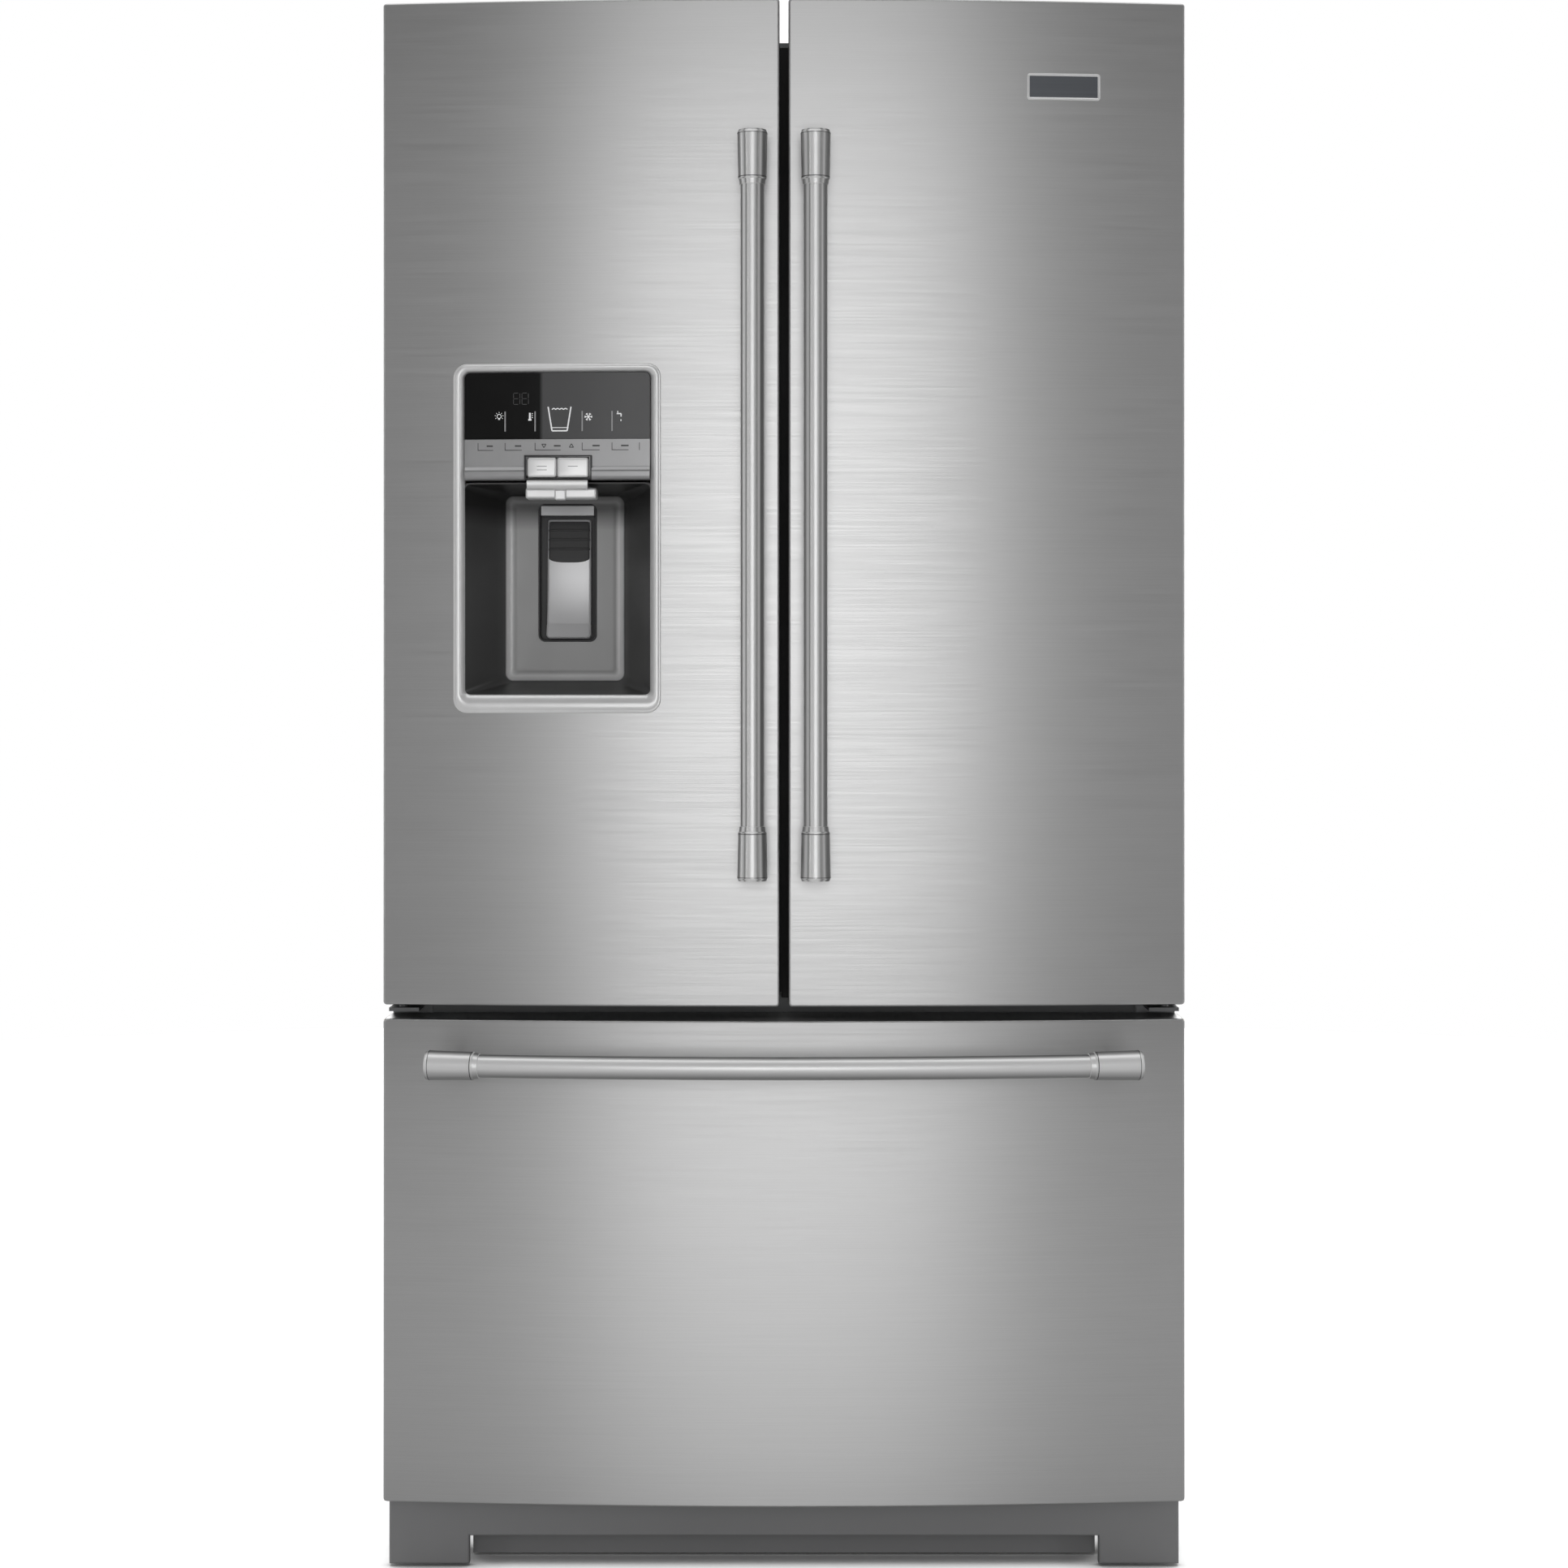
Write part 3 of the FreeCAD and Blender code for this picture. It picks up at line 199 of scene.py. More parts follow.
def brushed(name, color, rough, stretch, aniso, rotation, streak=0.05, grain=0.35, metal=1.0):
    """Steel with a fine grain; stretch is high across the grain and low along it."""
    shade = Shader(name, color, rough, metal, Anisotropic=aniso, Anisotropic_Rotation=rotation)
    fine = shade.noise(1.0, 4.0, stretch)
    shade.vary_rough(fine, streak).vary_color(fine, 0.035)
    if grain:
        shade.bump(fine, GRAIN_BUMP, grain)
    return shade.tangent().material


def sheet_steel(name):
    """The door skins' steel: a fine level grain, and shade painted in that dims it towards the ends
    of each panel.
    """
    shade = Shader(name, (PANEL_GREY,) * 3, 0.36, 1.0, Anisotropic=0.75, Anisotropic_Rotation=0.25)
    fine = shade.noise(1.0, 5.0, (9.0, 9.0, 1100.0))
    shade.vary_rough(fine, 0.04)
    shade.bump(fine, GRAIN_BUMP, 0.3)
    # Painted shade, dimmer towards the top and bottom of each panel.
    tone = shade.ramp(shade.along(shade.generated, "Z"), PANEL_PAINTED_SHADE, "B_SPLINE")
    shade.link(shade.times(tone, shade.spread(fine, 0.972, 1.028)), "Base Color")
    return shade.tangent().material


def by_facing(name, axis, stops, rough, metal, signed=False, shaded_top=False):
    """Metal with painted reflection, highlight and shade: its tone follows how a face looks along
    one axis, in (facing, grey) stops.

    Signed stops run from one end of the axis (0) to the other (1); plain ones from faces
    that look across the axis (0) to faces that look along it (1).
    """
    shade = Shader(name, (stops[-1][1],) * 3, rough, metal)
    facing = shade.along(shade.facing, axis)
    if signed:
        facing = shade.spread(facing, 0.0, 1.0, -1.0, 1.0)
    else:
        size = shade.tree.nodes.new("ShaderNodeMath")
        size.operation = "ABSOLUTE"
        shade.tree.links.new(facing, size.inputs[0])
        facing = size.outputs["Value"]
    tone = shade.ramp(facing, stops)
    # Painted shade over the top of the piece.
    if shaded_top:
        dim = shade.spread(shade.along(shade.generated, "Z"), 1.0, RECESS_SHADE,
                           RECESS_SHADE_FROM, RECESS_SHADE_TO)
        tone = shade.times(tone, dim)
    shade.link(tone, "Base Color")
    return shade.vary_rough(shade.noise(20.0, 3.0), 0.02).material


def plastic(name, color, rough, grain=900.0, height=0.00006, **sockets):
    """Moulded plastic with a fine grain and slight cloudiness."""
    shade = Shader(name, color, rough, 0.0, **sockets)
    speck = shade.noise(grain, 2.0)
    cloud = shade.noise(6.0, 3.0)
    shade.vary_rough(cloud, 0.05).vary_color(cloud, 0.03)
    return shade.bump(speck, height, 0.5).material


def painted(name, color, rough):
    """Textured appliance enamel: a pebbled bump and slight cloudiness."""
    shade = Shader(name, color, rough, 0.0, Coat_Weight=0.25, Coat_Roughness=0.3)
    pebble = shade.noise(420.0, 2.0)
    cloud = shade.noise(3.0, 3.0)
    shade.vary_rough(pebble, 0.06).vary_color(cloud, 0.05)
    return shade.bump(pebble, 0.00025, 0.55).material


def galvanised(name, color, rough):
    """Zinc-coated steel with spangle."""
    shade = Shader(name, color, rough, 0.85)
    spangle = shade.noise(45.0, kind="ShaderNodeTexVoronoi", detail=2.0)
    fine = shade.noise(260.0, 3.0)
    shade.vary_rough(spangle, 0.12).vary_color(spangle, 0.14)
    return shade.bump(fine, 0.00006, 0.3).material


def smoked_glass(name):
    """Near-black display glass, a little greyer across its right part: a painted reflection."""
    shade = Shader(name, (0.012, 0.012, 0.013), 0.16, 0.0)
    shade.put("Specular IOR Level", 0.2)
    across = shade.along(shade.generated, "X")
    # Painted reflection: greyer across the right part of the glass.
    shade.color_between(shade.spread(across, 0.0, 1.0, *REFLECTION_EDGE), GLASS_BLACK, REFLECTED_GREY)
    return shade.vary_rough(shade.noise(30.0, 2.0), 0.02).material


def see_through(name, color, rough, alpha):
    """Clear plastic or glass that lets part of what is behind it show."""
    shade = Shader(name, color, rough, 0.0, Alpha=alpha, Coat_Weight=0.6, Coat_Roughness=0.05)
    cloud = shade.noise(9.0, 2.0)
    shade.vary_rough(cloud, 0.03).vary_color(cloud, 0.02)
    return shade.bump(cloud, 0.0006, 0.15).material


def even_metal(name, color, rough, stretch, streak, metal):
    """Satin metal without direction or bump."""
    return brushed(name, color, rough, stretch, 0.0, 0.0, streak, 0.0, metal)


def lamp_lens(name):
    """The lit cover of a lamp."""
    material = plastic(name, (0.95, 0.95, 0.93), 0.4, 400.0, Emission_Strength=9.0)
    bsdf = material.node_tree.nodes["Principled BSDF"]
    bsdf.inputs["Emission Color"].default_value = (1.0, 0.98, 0.95, 1.0)
    return material


# Blender adds a numbered ending to a name that the frame already uses.
LOOKS = {material.name.split(".")[0]: material for material in (
    sheet_steel("stainless"),
    # The handle looks carry a painted reflection; the cavity's look carries painted shade and
    # highlight.
    by_facing("handle_steel", "X", BAR_PAINTED_REFLECTION, 0.3, 0.3, signed=True),
    by_facing("bowed_bar", "Z", BOWED_BAR_PAINTED_REFLECTION, 0.34, 0.35, signed=True),
    by_facing("recess_metal", "Y", RECESS_SHADE_AND_HIGHLIGHT, 0.42, 0.3, shaded_top=True),
    even_metal("bright_trim", (0.93, 0.93, 0.93), 0.34, EVEN_GRAIN, 0.02, 0.5),
    even_metal("shelf_edge", (0.60, 0.61, 0.62), 0.42, EVEN_GRAIN, 0.02, 0.6),
    even_metal("dispenser_grey", (0.40, 0.40, 0.405), 0.36, (40.0, 40.0, 40.0), 0.03, 0.65),
    brushed("badge_metal", (0.55, 0.56, 0.58), 0.28, LEVEL_GRAIN, 0.4, 0.25),
    brushed("badge_inlay", (0.16, 0.17, 0.185), 0.34, LEVEL_GRAIN, 0.3, 0.25),
    painted("case_paint", (0.16, 0.165, 0.17), 0.5),
    painted("compressor_black", (0.012, 0.012, 0.013), 0.35),
    painted("coil_metal", (0.05, 0.05, 0.052), 0.4),
    galvanised("zinc_steel", (0.55, 0.56, 0.57), 0.35),
    galvanised("hinge_steel", (0.16, 0.162, 0.165), 0.42),
    galvanised("back_steel", (0.42, 0.43, 0.44), 0.42),
    smoked_glass("black_glass"),
    see_through("clear_plastic", (0.86, 0.92, 0.94), 0.12, 0.42),
    see_through("shelf_glass", (0.78, 0.88, 0.855), 0.04, 0.30),
    see_through("frost_panel", (0.88, 0.92, 0.93), 0.4, 0.72),
    plastic("grille_plastic", (0.29, 0.29, 0.295), 0.5, 700.0, 0.0001),
    plastic("cap_plastic", (0.13, 0.132, 0.135), 0.45, 800.0, 0.0001),
    plastic("white_liner", (0.86, 0.865, 0.865), 0.32, 300.0, 0.00008),
    plastic("foam", (0.80, 0.70, 0.45), 0.9, 260.0, 0.0008),
    plastic("gasket_rubber", (0.018, 0.018, 0.019), 0.55, 900.0),
    plastic("key_silver", (0.86, 0.86, 0.86), 0.32, 700.0, Metallic=0.45),
    plastic("paddle_plastic", (0.80, 0.80, 0.81), 0.34, 500.0, Metallic=0.35),
    plastic("black_rubber", (0.03, 0.03, 0.031), 0.7, 500.0, 0.0002),
    plastic("pad_rubber", (0.075, 0.075, 0.076), 0.6, 500.0, 0.0002),
    plastic("basket_white", (0.80, 0.82, 0.83), 0.35, 300.0),
    plastic("basket_rim", (0.86, 0.87, 0.88), 0.3, 300.0),
    plastic("fan_plastic", (0.03, 0.03, 0.032), 0.4, 500.0),
    plastic("print_white", (0.85, 0.86, 0.87), 0.4, 1500.0, Emission_Strength=0.25),
    plastic("print_grey", (0.45, 0.45, 0.46), 0.4, 1500.0),
    plastic("print_faint", (0.05, 0.05, 0.052), 0.3, 1500.0),
    plastic("print_dark", (0.06, 0.06, 0.06), 0.5, 1500.0),
    lamp_lens("lamp_lens"),
)}
# The slot of each look that isn't a slot's own.
# CAD parts with a look of their own; the rest take their slot's.
OWN_LOOK = {"door_hinges": "hinge_steel", "freezer_handle": "bowed_bar"}

for node_name, item in NODES.items():
    item.data.materials.clear()
    item.data.materials.append(LOOKS[OWN_LOOK.get(node_name, SLOT_OF[node_name])])


# ---------------------------------------------------------------- mesh helpers
BEVEL_ANGLE, SHARP_ANGLE = math.radians(40), math.radians(38)
BOX_FACES = ((0, 1, 3, 2), (4, 6, 7, 5), (0, 4, 5, 1), (2, 3, 7, 6), (0, 2, 6, 4), (1, 5, 7, 3))


def add_mesh(name, verts, faces, look, body, smooth=True, bevel=0.0):
    """A mesh piece in millimetres that rides on a body."""
    mesh = bpy.data.meshes.new(name)
    mesh.from_pydata([[MM * number for number in vert] for vert in verts], [], faces)
    work = bmesh.new()
    work.from_mesh(mesh)
    bmesh.ops.recalc_face_normals(work, faces=work.faces)
    work.to_mesh(mesh)
    work.free()
    piece = bpy.data.objects.new(name, mesh)
    bpy.context.scene.collection.objects.link(piece)
    mesh.materials.append(LOOKS[look])
    if bevel:
        modifier = piece.modifiers.new("bevel", "BEVEL")
        modifier.width = bevel * MM
        modifier.segments = 3
        modifier.limit_method = "ANGLE"
        modifier.angle_limit = BEVEL_ANGLE
    for face in mesh.polygons:
        face.use_smooth = smooth
    if smooth:
        mesh.set_sharp_from_angle(angle=SHARP_ANGLE)
    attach(piece, body)
    return piece


def joined(name, blocks, look, body, bevel=0.5):
    """Bevelled blocks as one piece, each between two corners in millimetres."""
    verts, faces = [], []
    for low, high in blocks:
        start = len(verts)
        verts += [(x, y, z) for x in (low[0], high[0]) for y in (low[1], high[1])
                  for z in (low[2], high[2])]
        faces += [[start + corner for corner in face] for face in BOX_FACES]
    return add_mesh(name, verts, faces, look, body, bevel=bevel)


def block(name, low, high, look, body, bevel=0.8):
    return joined(name, [(low, high)], look, body, bevel)


def rounded_ring(left, right, low, high, radius, depth, steps=8, along=14):
    """Points round a rounded rectangle in the door's plane; depth(x, z) gives each one's y."""
    centres = ((right - radius, high - radius, 0), (left + radius, high - radius, 90),
               (left + radius, low + radius, 180), (right - radius, low + radius, 270))
    corners = []
    for cx, cz, start in centres:
        for step in range(steps + 1):
            turn = math.radians(start + 90 * step / steps)
            corners.append((cx + radius * math.cos(turn), cz + radius * math.sin(turn)))
    points = []
    for index, (x, z) in enumerate(corners):
        points.append((x, depth(x, z), z))
        if index % (steps + 1) == steps:
            next_x, next_z = corners[(index + 1) % len(corners)]
            for step in range(1, along):
                part = step / along
                mid_x, mid_z = x + (next_x - x) * part, z + (next_z - z) * part
                points.append((mid_x, depth(mid_x, mid_z), mid_z))
    return points


def loft(rings, closed=False, wrap=False):
    """Faces that join rings of equally many points.

    Closed fills the first and last rings; wrap joins the last ring to the first.
    """
    verts = [point for ring in rings for point in ring]
    count = len(rings[0])
    faces = []
    for row in range(len(rings) if wrap else len(rings) - 1):
        below = (row + 1) % len(rings)
        for index in range(count):
            following = (index + 1) % count
            faces.append((row * count + index, row * count + following,
                          below * count + following, below * count + index))
    if closed:
        faces.append(tuple(range((len(rings) - 1) * count, len(rings) * count)))
        faces.append(tuple(reversed(range(count))))
    return verts, faces


def lofted(name, rings, look, body):
    """A solid through rings of points, closed at both ends."""
    return add_mesh(name, *loft(rings, closed=True), look, body)


def millimetres(node):
    """The two corners of a CAD part's box, in millimetres."""
    return [[number / MM for number in corner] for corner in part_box(node)]


# ---------------------------------------------------------------- the doors' bow
SKIN_LOW, SKIN_HIGH = millimetres("freezer_front_skin")
HALF_WIDTH = SKIN_HIGH[0]
BOW_FRONT = SKIN_LOW[1]
BOW_RISE = 27.0
BOW_RADIUS = (HALF_WIDTH ** 2 + BOW_RISE ** 2) / (2 * BOW_RISE)


def face_y(x):
    """The y of the bowed door face at x, in millimetres."""
    return BOW_FRONT + BOW_RADIUS - math.sqrt(BOW_RADIUS ** 2 - x * x)


# ---------------------------------------------------------------- dispenser
BEZEL_LOW, BEZEL_HIGH = millimetres("dispenser_bezel")
BAND_LEFT, BAND_RIGHT, BAND_TOP, BAND_BOTTOM = 12.8, 11.9, 10.1, 20.7
OPEN_LEFT, OPEN_RIGHT = BEZEL_LOW[0] + BAND_LEFT, BEZEL_HIGH[0] - BAND_RIGHT
OPEN_LOW, OPEN_HIGH = BEZEL_LOW[2] + BAND_BOTTOM, BEZEL_HIGH[2] - BAND_TOP
OUTER_CORNER, OPENING_CORNER = 15.5, 6.0
# (share of the band's width, how far it stands proud of the door) round the frame's section.
BEZEL_PROFILE = ((0.0, -1.5), (0.0, 1.6), (0.04, 2.4), (0.10, 2.7), (0.15, 2.7), (0.18, 3.1),
                 (0.26, 3.8), (0.36, 4.0), (0.50, 3.9), (0.62, 3.3), (0.80, 1.3), (0.94, -0.8),
                 (1.0, -2.4), (1.0, -12.0), (0.93, -12.0), (0.9, -1.5))


def frame_ring(share, proud):
    """An outline between the frame's outer edge (share 0) and its opening (share 1)."""
    def between(outer, inner):
        return outer + (inner - outer) * share
    return rounded_ring(between(BEZEL_LOW[0], OPEN_LEFT), between(BEZEL_HIGH[0], OPEN_RIGHT),
                        between(BEZEL_LOW[2], OPEN_LOW), between(BEZEL_HIGH[2], OPEN_HIGH),
                        between(OUTER_CORNER, OPENING_CORNER), lambda x, z: face_y(x) - proud)


def build_bezel():
    """A satin frame: a thin outer lip, a broad crest, and a long slope down into the opening."""
    verts, faces = loft([frame_ring(*row) for row in BEZEL_PROFILE], wrap=True)
    piece = add_mesh("dispenser_frame", verts, faces, "bright_trim", "door_left")
    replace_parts(piece, "dispenser_bezel")


RECESS_BACK = -268.6
RECESS_TOP_FRONT, RECESS_TOP_BACK = 1233.6, 1227.0
RECESS_LEFT, RECESS_RIGHT = -318.0, -187.6
RECESS_FLOOR_RISE, RECESS_PLAY, MOUTH_SET_BACK = 16.0, 0.2, 3.0
MOUTH_CORNER, BACK_CORNER = 6.0, 12.0
WELL_LEFT, WELL_RIGHT, WELL_LOW, WELL_HIGH = -284.4, -216.7, 1058.0, 1218.0
WELL_CORNER = 8.0


def cavity_ring(share, inset, back, radius):
    """An outline of the cavity between its mouth (share 0) and its back (share 1)."""
    left = OPEN_LEFT + RECESS_PLAY + (RECESS_LEFT - OPEN_LEFT) * share + inset
    right = OPEN_RIGHT - RECESS_PLAY + (RECESS_RIGHT - OPEN_RIGHT) * share - inset
    low = OPEN_LOW + RECESS_FLOOR_RISE * share + inset
    high = RECESS_TOP_FRONT + (RECESS_TOP_BACK - RECESS_TOP_FRONT) * share - inset

    def depth(x, z):
        mouth = face_y(x) + MOUTH_SET_BACK
        return mouth + (back - mouth) * share
    return rounded_ring(left, right, low, high, radius, depth)


def well_ring(inset, radius, y):
    """An outline of the paddle's well, drawn in by inset."""
    return rounded_ring(WELL_LEFT + inset, WELL_RIGHT - inset, WELL_LOW + inset, WELL_HIGH - inset,
                        radius, lambda x, z: y)


def build_recess():
    """The pressed metal cavity with soft corners, and the dark paddle well in its back."""
    bead, wall, rim, bead_steps = 16.0, 1.6, 0.86, 8
    rings = [cavity_ring(share, 0.0, RECESS_BACK,
                         MOUTH_CORNER + (BACK_CORNER - MOUTH_CORNER) * share)
             for share in (0.0, 0.1, 0.3, 0.5, 0.7, rim)]
    for step in range(1, bead_steps + 1):
        turn = math.radians(90 * step / bead_steps)
        inset = bead * (1 - math.cos(turn))
        back = RECESS_BACK - bead * (1 - math.sin(turn))
        ring = cavity_ring(rim, inset, RECESS_BACK, BACK_CORNER - step * 0.8)
        rings.append([(x, back, z) for x, y, z in ring])
    rings += [well_ring(0.0, WELL_CORNER, RECESS_BACK),
              well_ring(0.0, WELL_CORNER, RECESS_BACK + wall)]
    rings.append([(x, RECESS_BACK + wall, z)
                  for x, y, z in cavity_ring(rim, -wall, RECESS_BACK, BACK_CORNER)])
    rings.append([(x, y + 0.5, z)
                  for x, y, z in cavity_ring(0.0, -wall, RECESS_BACK, MOUTH_CORNER)])
    verts, faces = loft(rings, wrap=True)
    piece = add_mesh("dispenser_cavity", verts, faces, "recess_metal", "door_left")
    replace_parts(piece, "dispenser_housing")

    pocket = [well_ring(inset, WELL_CORNER - inset, RECESS_BACK + deep)
              for inset, deep in ((2.3, 13.0), (2.3, -1.0), (1.8, -1.6), (0.8, -1.6),
                                  (0.3, -1.0), (0.3, 1.0), (0.3, 15.0))]
    lofted("paddle_well", pocket, "fan_plastic", "door_left")
    block("paddle_header", (WELL_LEFT + 2.6, RECESS_BACK - 2.0, 1203.6),
          (WELL_RIGHT - 2.6, RECESS_BACK + 9, 1216.0), "dispenser_grey", "door_left", 1.0)


def outline_bar(left, right, low, high, proud, thick):
    """The corners of a thin printed mark, as a low block that stands on the bow."""
    y = face_y((left + right) / 2) - proud
    return ((left, y - thick, low), (right, y, high))


STROKE_THICK, STROKE_SUNK = 0.16, 0.1


def add_strokes(name, strokes, proud, look):
    """Short printed lines (x, z to x, z, width) as thin bars just proud of the bowed front."""
    verts, faces = [], []
    for x0, z0, x1, z1, width in strokes:
        length = math.hypot(x1 - x0, z1 - z0)
        across = (-(z1 - z0) / length * width / 2, (x1 - x0) / length * width / 2)
        start = len(verts)
        for depth in (proud + STROKE_SUNK, proud + STROKE_SUNK - STROKE_THICK):
            for x, z, sign in ((x0, z0, 1), (x0, z0, -1), (x1, z1, -1), (x1, z1, 1)):
                px, pz = x + sign * across[0], z + sign * across[1]
                verts.append((px, face_y(px) - depth, pz))
        faces += [[start + corner for corner in face] for face in
                  ((0, 1, 2, 3), (7, 6, 5, 4), (0, 4, 5, 1), (1, 5, 6, 2), (2, 6, 7, 3),
                   (3, 7, 4, 0))]
    add_mesh(name, verts, faces, look, "door_left", smooth=False)


COLUMN_EDGES = (-313.4, -279.5, -226.4, -192.8)
DISPLAY_PROUD, FASCIA_PROUD = 1.55, 2.55


def build_display():
    """Generic marks on the glass: lamp, thermometer, glass of water, snowflake, tap, digits."""
    proud = DISPLAY_PROUD
    bars = [outline_bar(x - 0.7, x + 0.7, 1292.5, 1315.0, proud, 0.12) for x in COLUMN_EDGES]
    joined("display_dividers", bars, "print_grey", "door_left", 0)
    strokes = []

    def stroke(points, width, closed=False):
        for (x0, z0), (x1, z1) in zip(points, points[1:] + points[:1] if closed else points[1:]):
            strokes.append((x0, z0, x1, z1, width))

    def spoke(centre, angle, start, end, width):
        """A stroke that points away from a centre."""
        stroke([(centre[0] + start * math.cos(angle), centre[1] + start * math.sin(angle)),
                (centre[0] + end * math.cos(angle), centre[1] + end * math.sin(angle))], width)

    stroke([(-264.8, 1320.0), (-260.4, 1293.0), (-243.4, 1293.0), (-239.0, 1320.0)], 1.5)
    stroke([(-262.0, 1296.6), (-241.8, 1296.6)], 0.8)
    stroke([(-260.6 + step * 2.2, 1317.4 + (0.9 if step % 2 else -0.4)) for step in range(9)], 1.1)
    flake = (-219.4, 1308.6)
    for turn in range(0, 360, 60):
        angle = math.radians(turn)
        spoke(flake, angle, 0.0, 4.4, 0.9)
        root = (flake[0] + 2.6 * math.cos(angle), flake[1] + 2.6 * math.sin(angle))
        for lean in (-35, 35):
            spoke(root, angle + math.radians(lean), 0.0, 1.9, 0.7)
    bulb = (-320.2, 1309.6)
    turns = [math.radians(30 * step) for step in range(12)]
    stroke([(bulb[0] + 2.4 * math.cos(turn), bulb[1] + 2.4 * math.sin(turn)) for turn in turns],
           0.7, True)
    stroke([(bulb[0] - 1.1, bulb[1] - 3.4), (bulb[0] + 1.1, bulb[1] - 3.4)], 0.9)
    for turn in range(-30, 211, 40):
        spoke(bulb, math.radians(turn), 3.7, 4.9, 0.6)
    stroke([(-285.4, 1305.0), (-285.4, 1313.4)], 2.0)
    stroke([(-285.4, 1304.6), (-285.4, 1306.6)], 3.6)
    for step in range(3):
        stroke([(-283.4, 1308.0 + 2.2 * step), (-281.9, 1308.0 + 2.2 * step)], 0.6)
    stroke([(-187.6, 1312.0), (-182.6, 1312.0), (-182.6, 1308.6)], 1.3)
    stroke([(-186.4, 1312.0), (-186.4, 1315.0)], 1.0)
    stroke([(-182.8, 1305.6), (-182.8, 1303.6)], 1.2)
    add_strokes("display_symbols", strokes, proud, "print_white")
    digits = []
    for left in (-304.2, -294.6):
        for low, high in ((1322.6, 1323.2), (1329.0, 1329.6), (1335.4, 1336.0)):
            digits.append(outline_bar(left + 0.8, left + 7.0, low, high, proud, 0.08))
        for x in (left, left + 7.2):
            for low in (1323.4, 1329.8):
                digits.append(outline_bar(x, x + 0.6, low, low + 5.4, proud, 0.08))
    joined("display_digits", digits, "print_faint", "door_left", 0)


def build_fascia():
    """Fine rules and two arrows printed on the grey band: no lettering."""
    edges = (-344.0, *COLUMN_EDGES, -162.0)
    spans = [(left + 0.5, right - 0.5, 1271.0, 1271.7) for left, right in zip(edges, edges[1:])]
    spans += [(x - 0.35, x + 0.35, 1271.0, 1279.6) for x in edges]
    spans += [(x - 5.2, x + 5.2, 1275.3, 1276.9) for x in (-329.0, -297.0, -253.0, -209.6, -177.4)]
    rules = [outline_bar(*span, FASCIA_PROUD, 0.1) for span in spans]
    joined("fascia_rules", rules, "print_dark", "door_left", 0)
    arrows = []
    for middle, way in ((-269.5, -1), (-238.5, 1)):
        corners = [(middle + x, 1276.2 + z * way)
                   for x, z in ((-2.4, -1.8), (2.4, -1.8), (0.0, 2.2))]
        arrows += [(*start, *end, 0.9) for start, end in zip(corners, corners[1:] + corners[:1])]
    add_strokes("fascia_arrows", arrows, FASCIA_PROUD, "print_dark")


def swept(name, outline, left, right, look, body, follow=True):
    """An outline of (proud, z) corners carried from left to right, along the bow or straight."""
    rings, steps = [], 12
    for step in range(steps + 1):
        x = left + (right - left) * step / steps
        base = face_y(x) if follow else face_y((left + right) / 2)
        rings.append([(x, base - proud, z) for proud, z in outline])
    return lofted(name, rings, look, body)


def nose_outline(flat, proud, low, high, back):
    """A bullnose section that swells out of the flat band above it and turns under at its foot."""
    steps, foot_steps, foot = 12, 6, 5.0
    points = [(back, low + 2.0), (back, high), (flat, high)]
    for step in range(1, steps + 1):
        part = step / steps
        swell = math.sin(math.radians(90 * min(1.0, part * 1.7))) ** 1.5
        points.append((flat + (proud - flat) * swell, high + (low + foot - high) * part))
    for step in range(1, foot_steps + 1):
        turn = math.radians(90 * step / foot_steps)
        points.append((proud - foot + foot * math.cos(turn), low + foot - foot * math.sin(turn)))
    return points


def build_spout():
    """The bullnose under the fascia, the key surround, and the spout with its tray and nozzle."""
    left, right = OPEN_LEFT + 0.5, OPEN_RIGHT - 0.5
    key_left, key_right = -291.0, -215.6
    nose = nose_outline(2.4, 6.6, 1237.4, 1253.5, -6.0)
    swept("fascia_nose_left", nose, left, key_left, "dispenser_grey", "door_left")
    swept("fascia_nose_right", nose, key_right, right, "dispenser_grey", "door_left")
    front = face_y(-250)
    lip = [(1.0, 1226.8), (1.0, 1237.2), (7.4, 1237.2), (8.4, 1236.4), (8.8, 1234.6), (8.4, 1230.6),
           (7.0, 1227.8), (5.0, 1226.8)]
    swept("spout_lip", lip, key_left + 2.8, key_right - 4.6, "key_silver", "door_left",
          follow=False)
    tray = block("spout_tray", (-290.6, front + 2.5, 1217.2), (-210.6, front + 34, 1229.4),
                 "key_silver", "door_left", 2.4)
    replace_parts(tray, "dispenser_spout")
    block("spout_nozzle", (-257.6, front - 2.0, 1215.4), (-244.6, front + 12, 1227.2),
          "key_silver", "door_left", 1.8)
    near, far = front - 6.4, front + 4
    surround = [((key_left - 0.4, near, 1238.4), (key_left + 1.6, far, 1265.4)),
                ((key_right - 1.6, near, 1238.4), (key_right + 0.4, far, 1265.4)),
                ((key_left + 1.0, near, 1264.0), (key_right - 1.0, far, 1265.4)),
                ((key_left + 1.0, near, 1238.0), (key_right - 1.0, far, 1239.4))]
    joined("key_surround", surround, "fan_plastic", "door_left", 0.4)


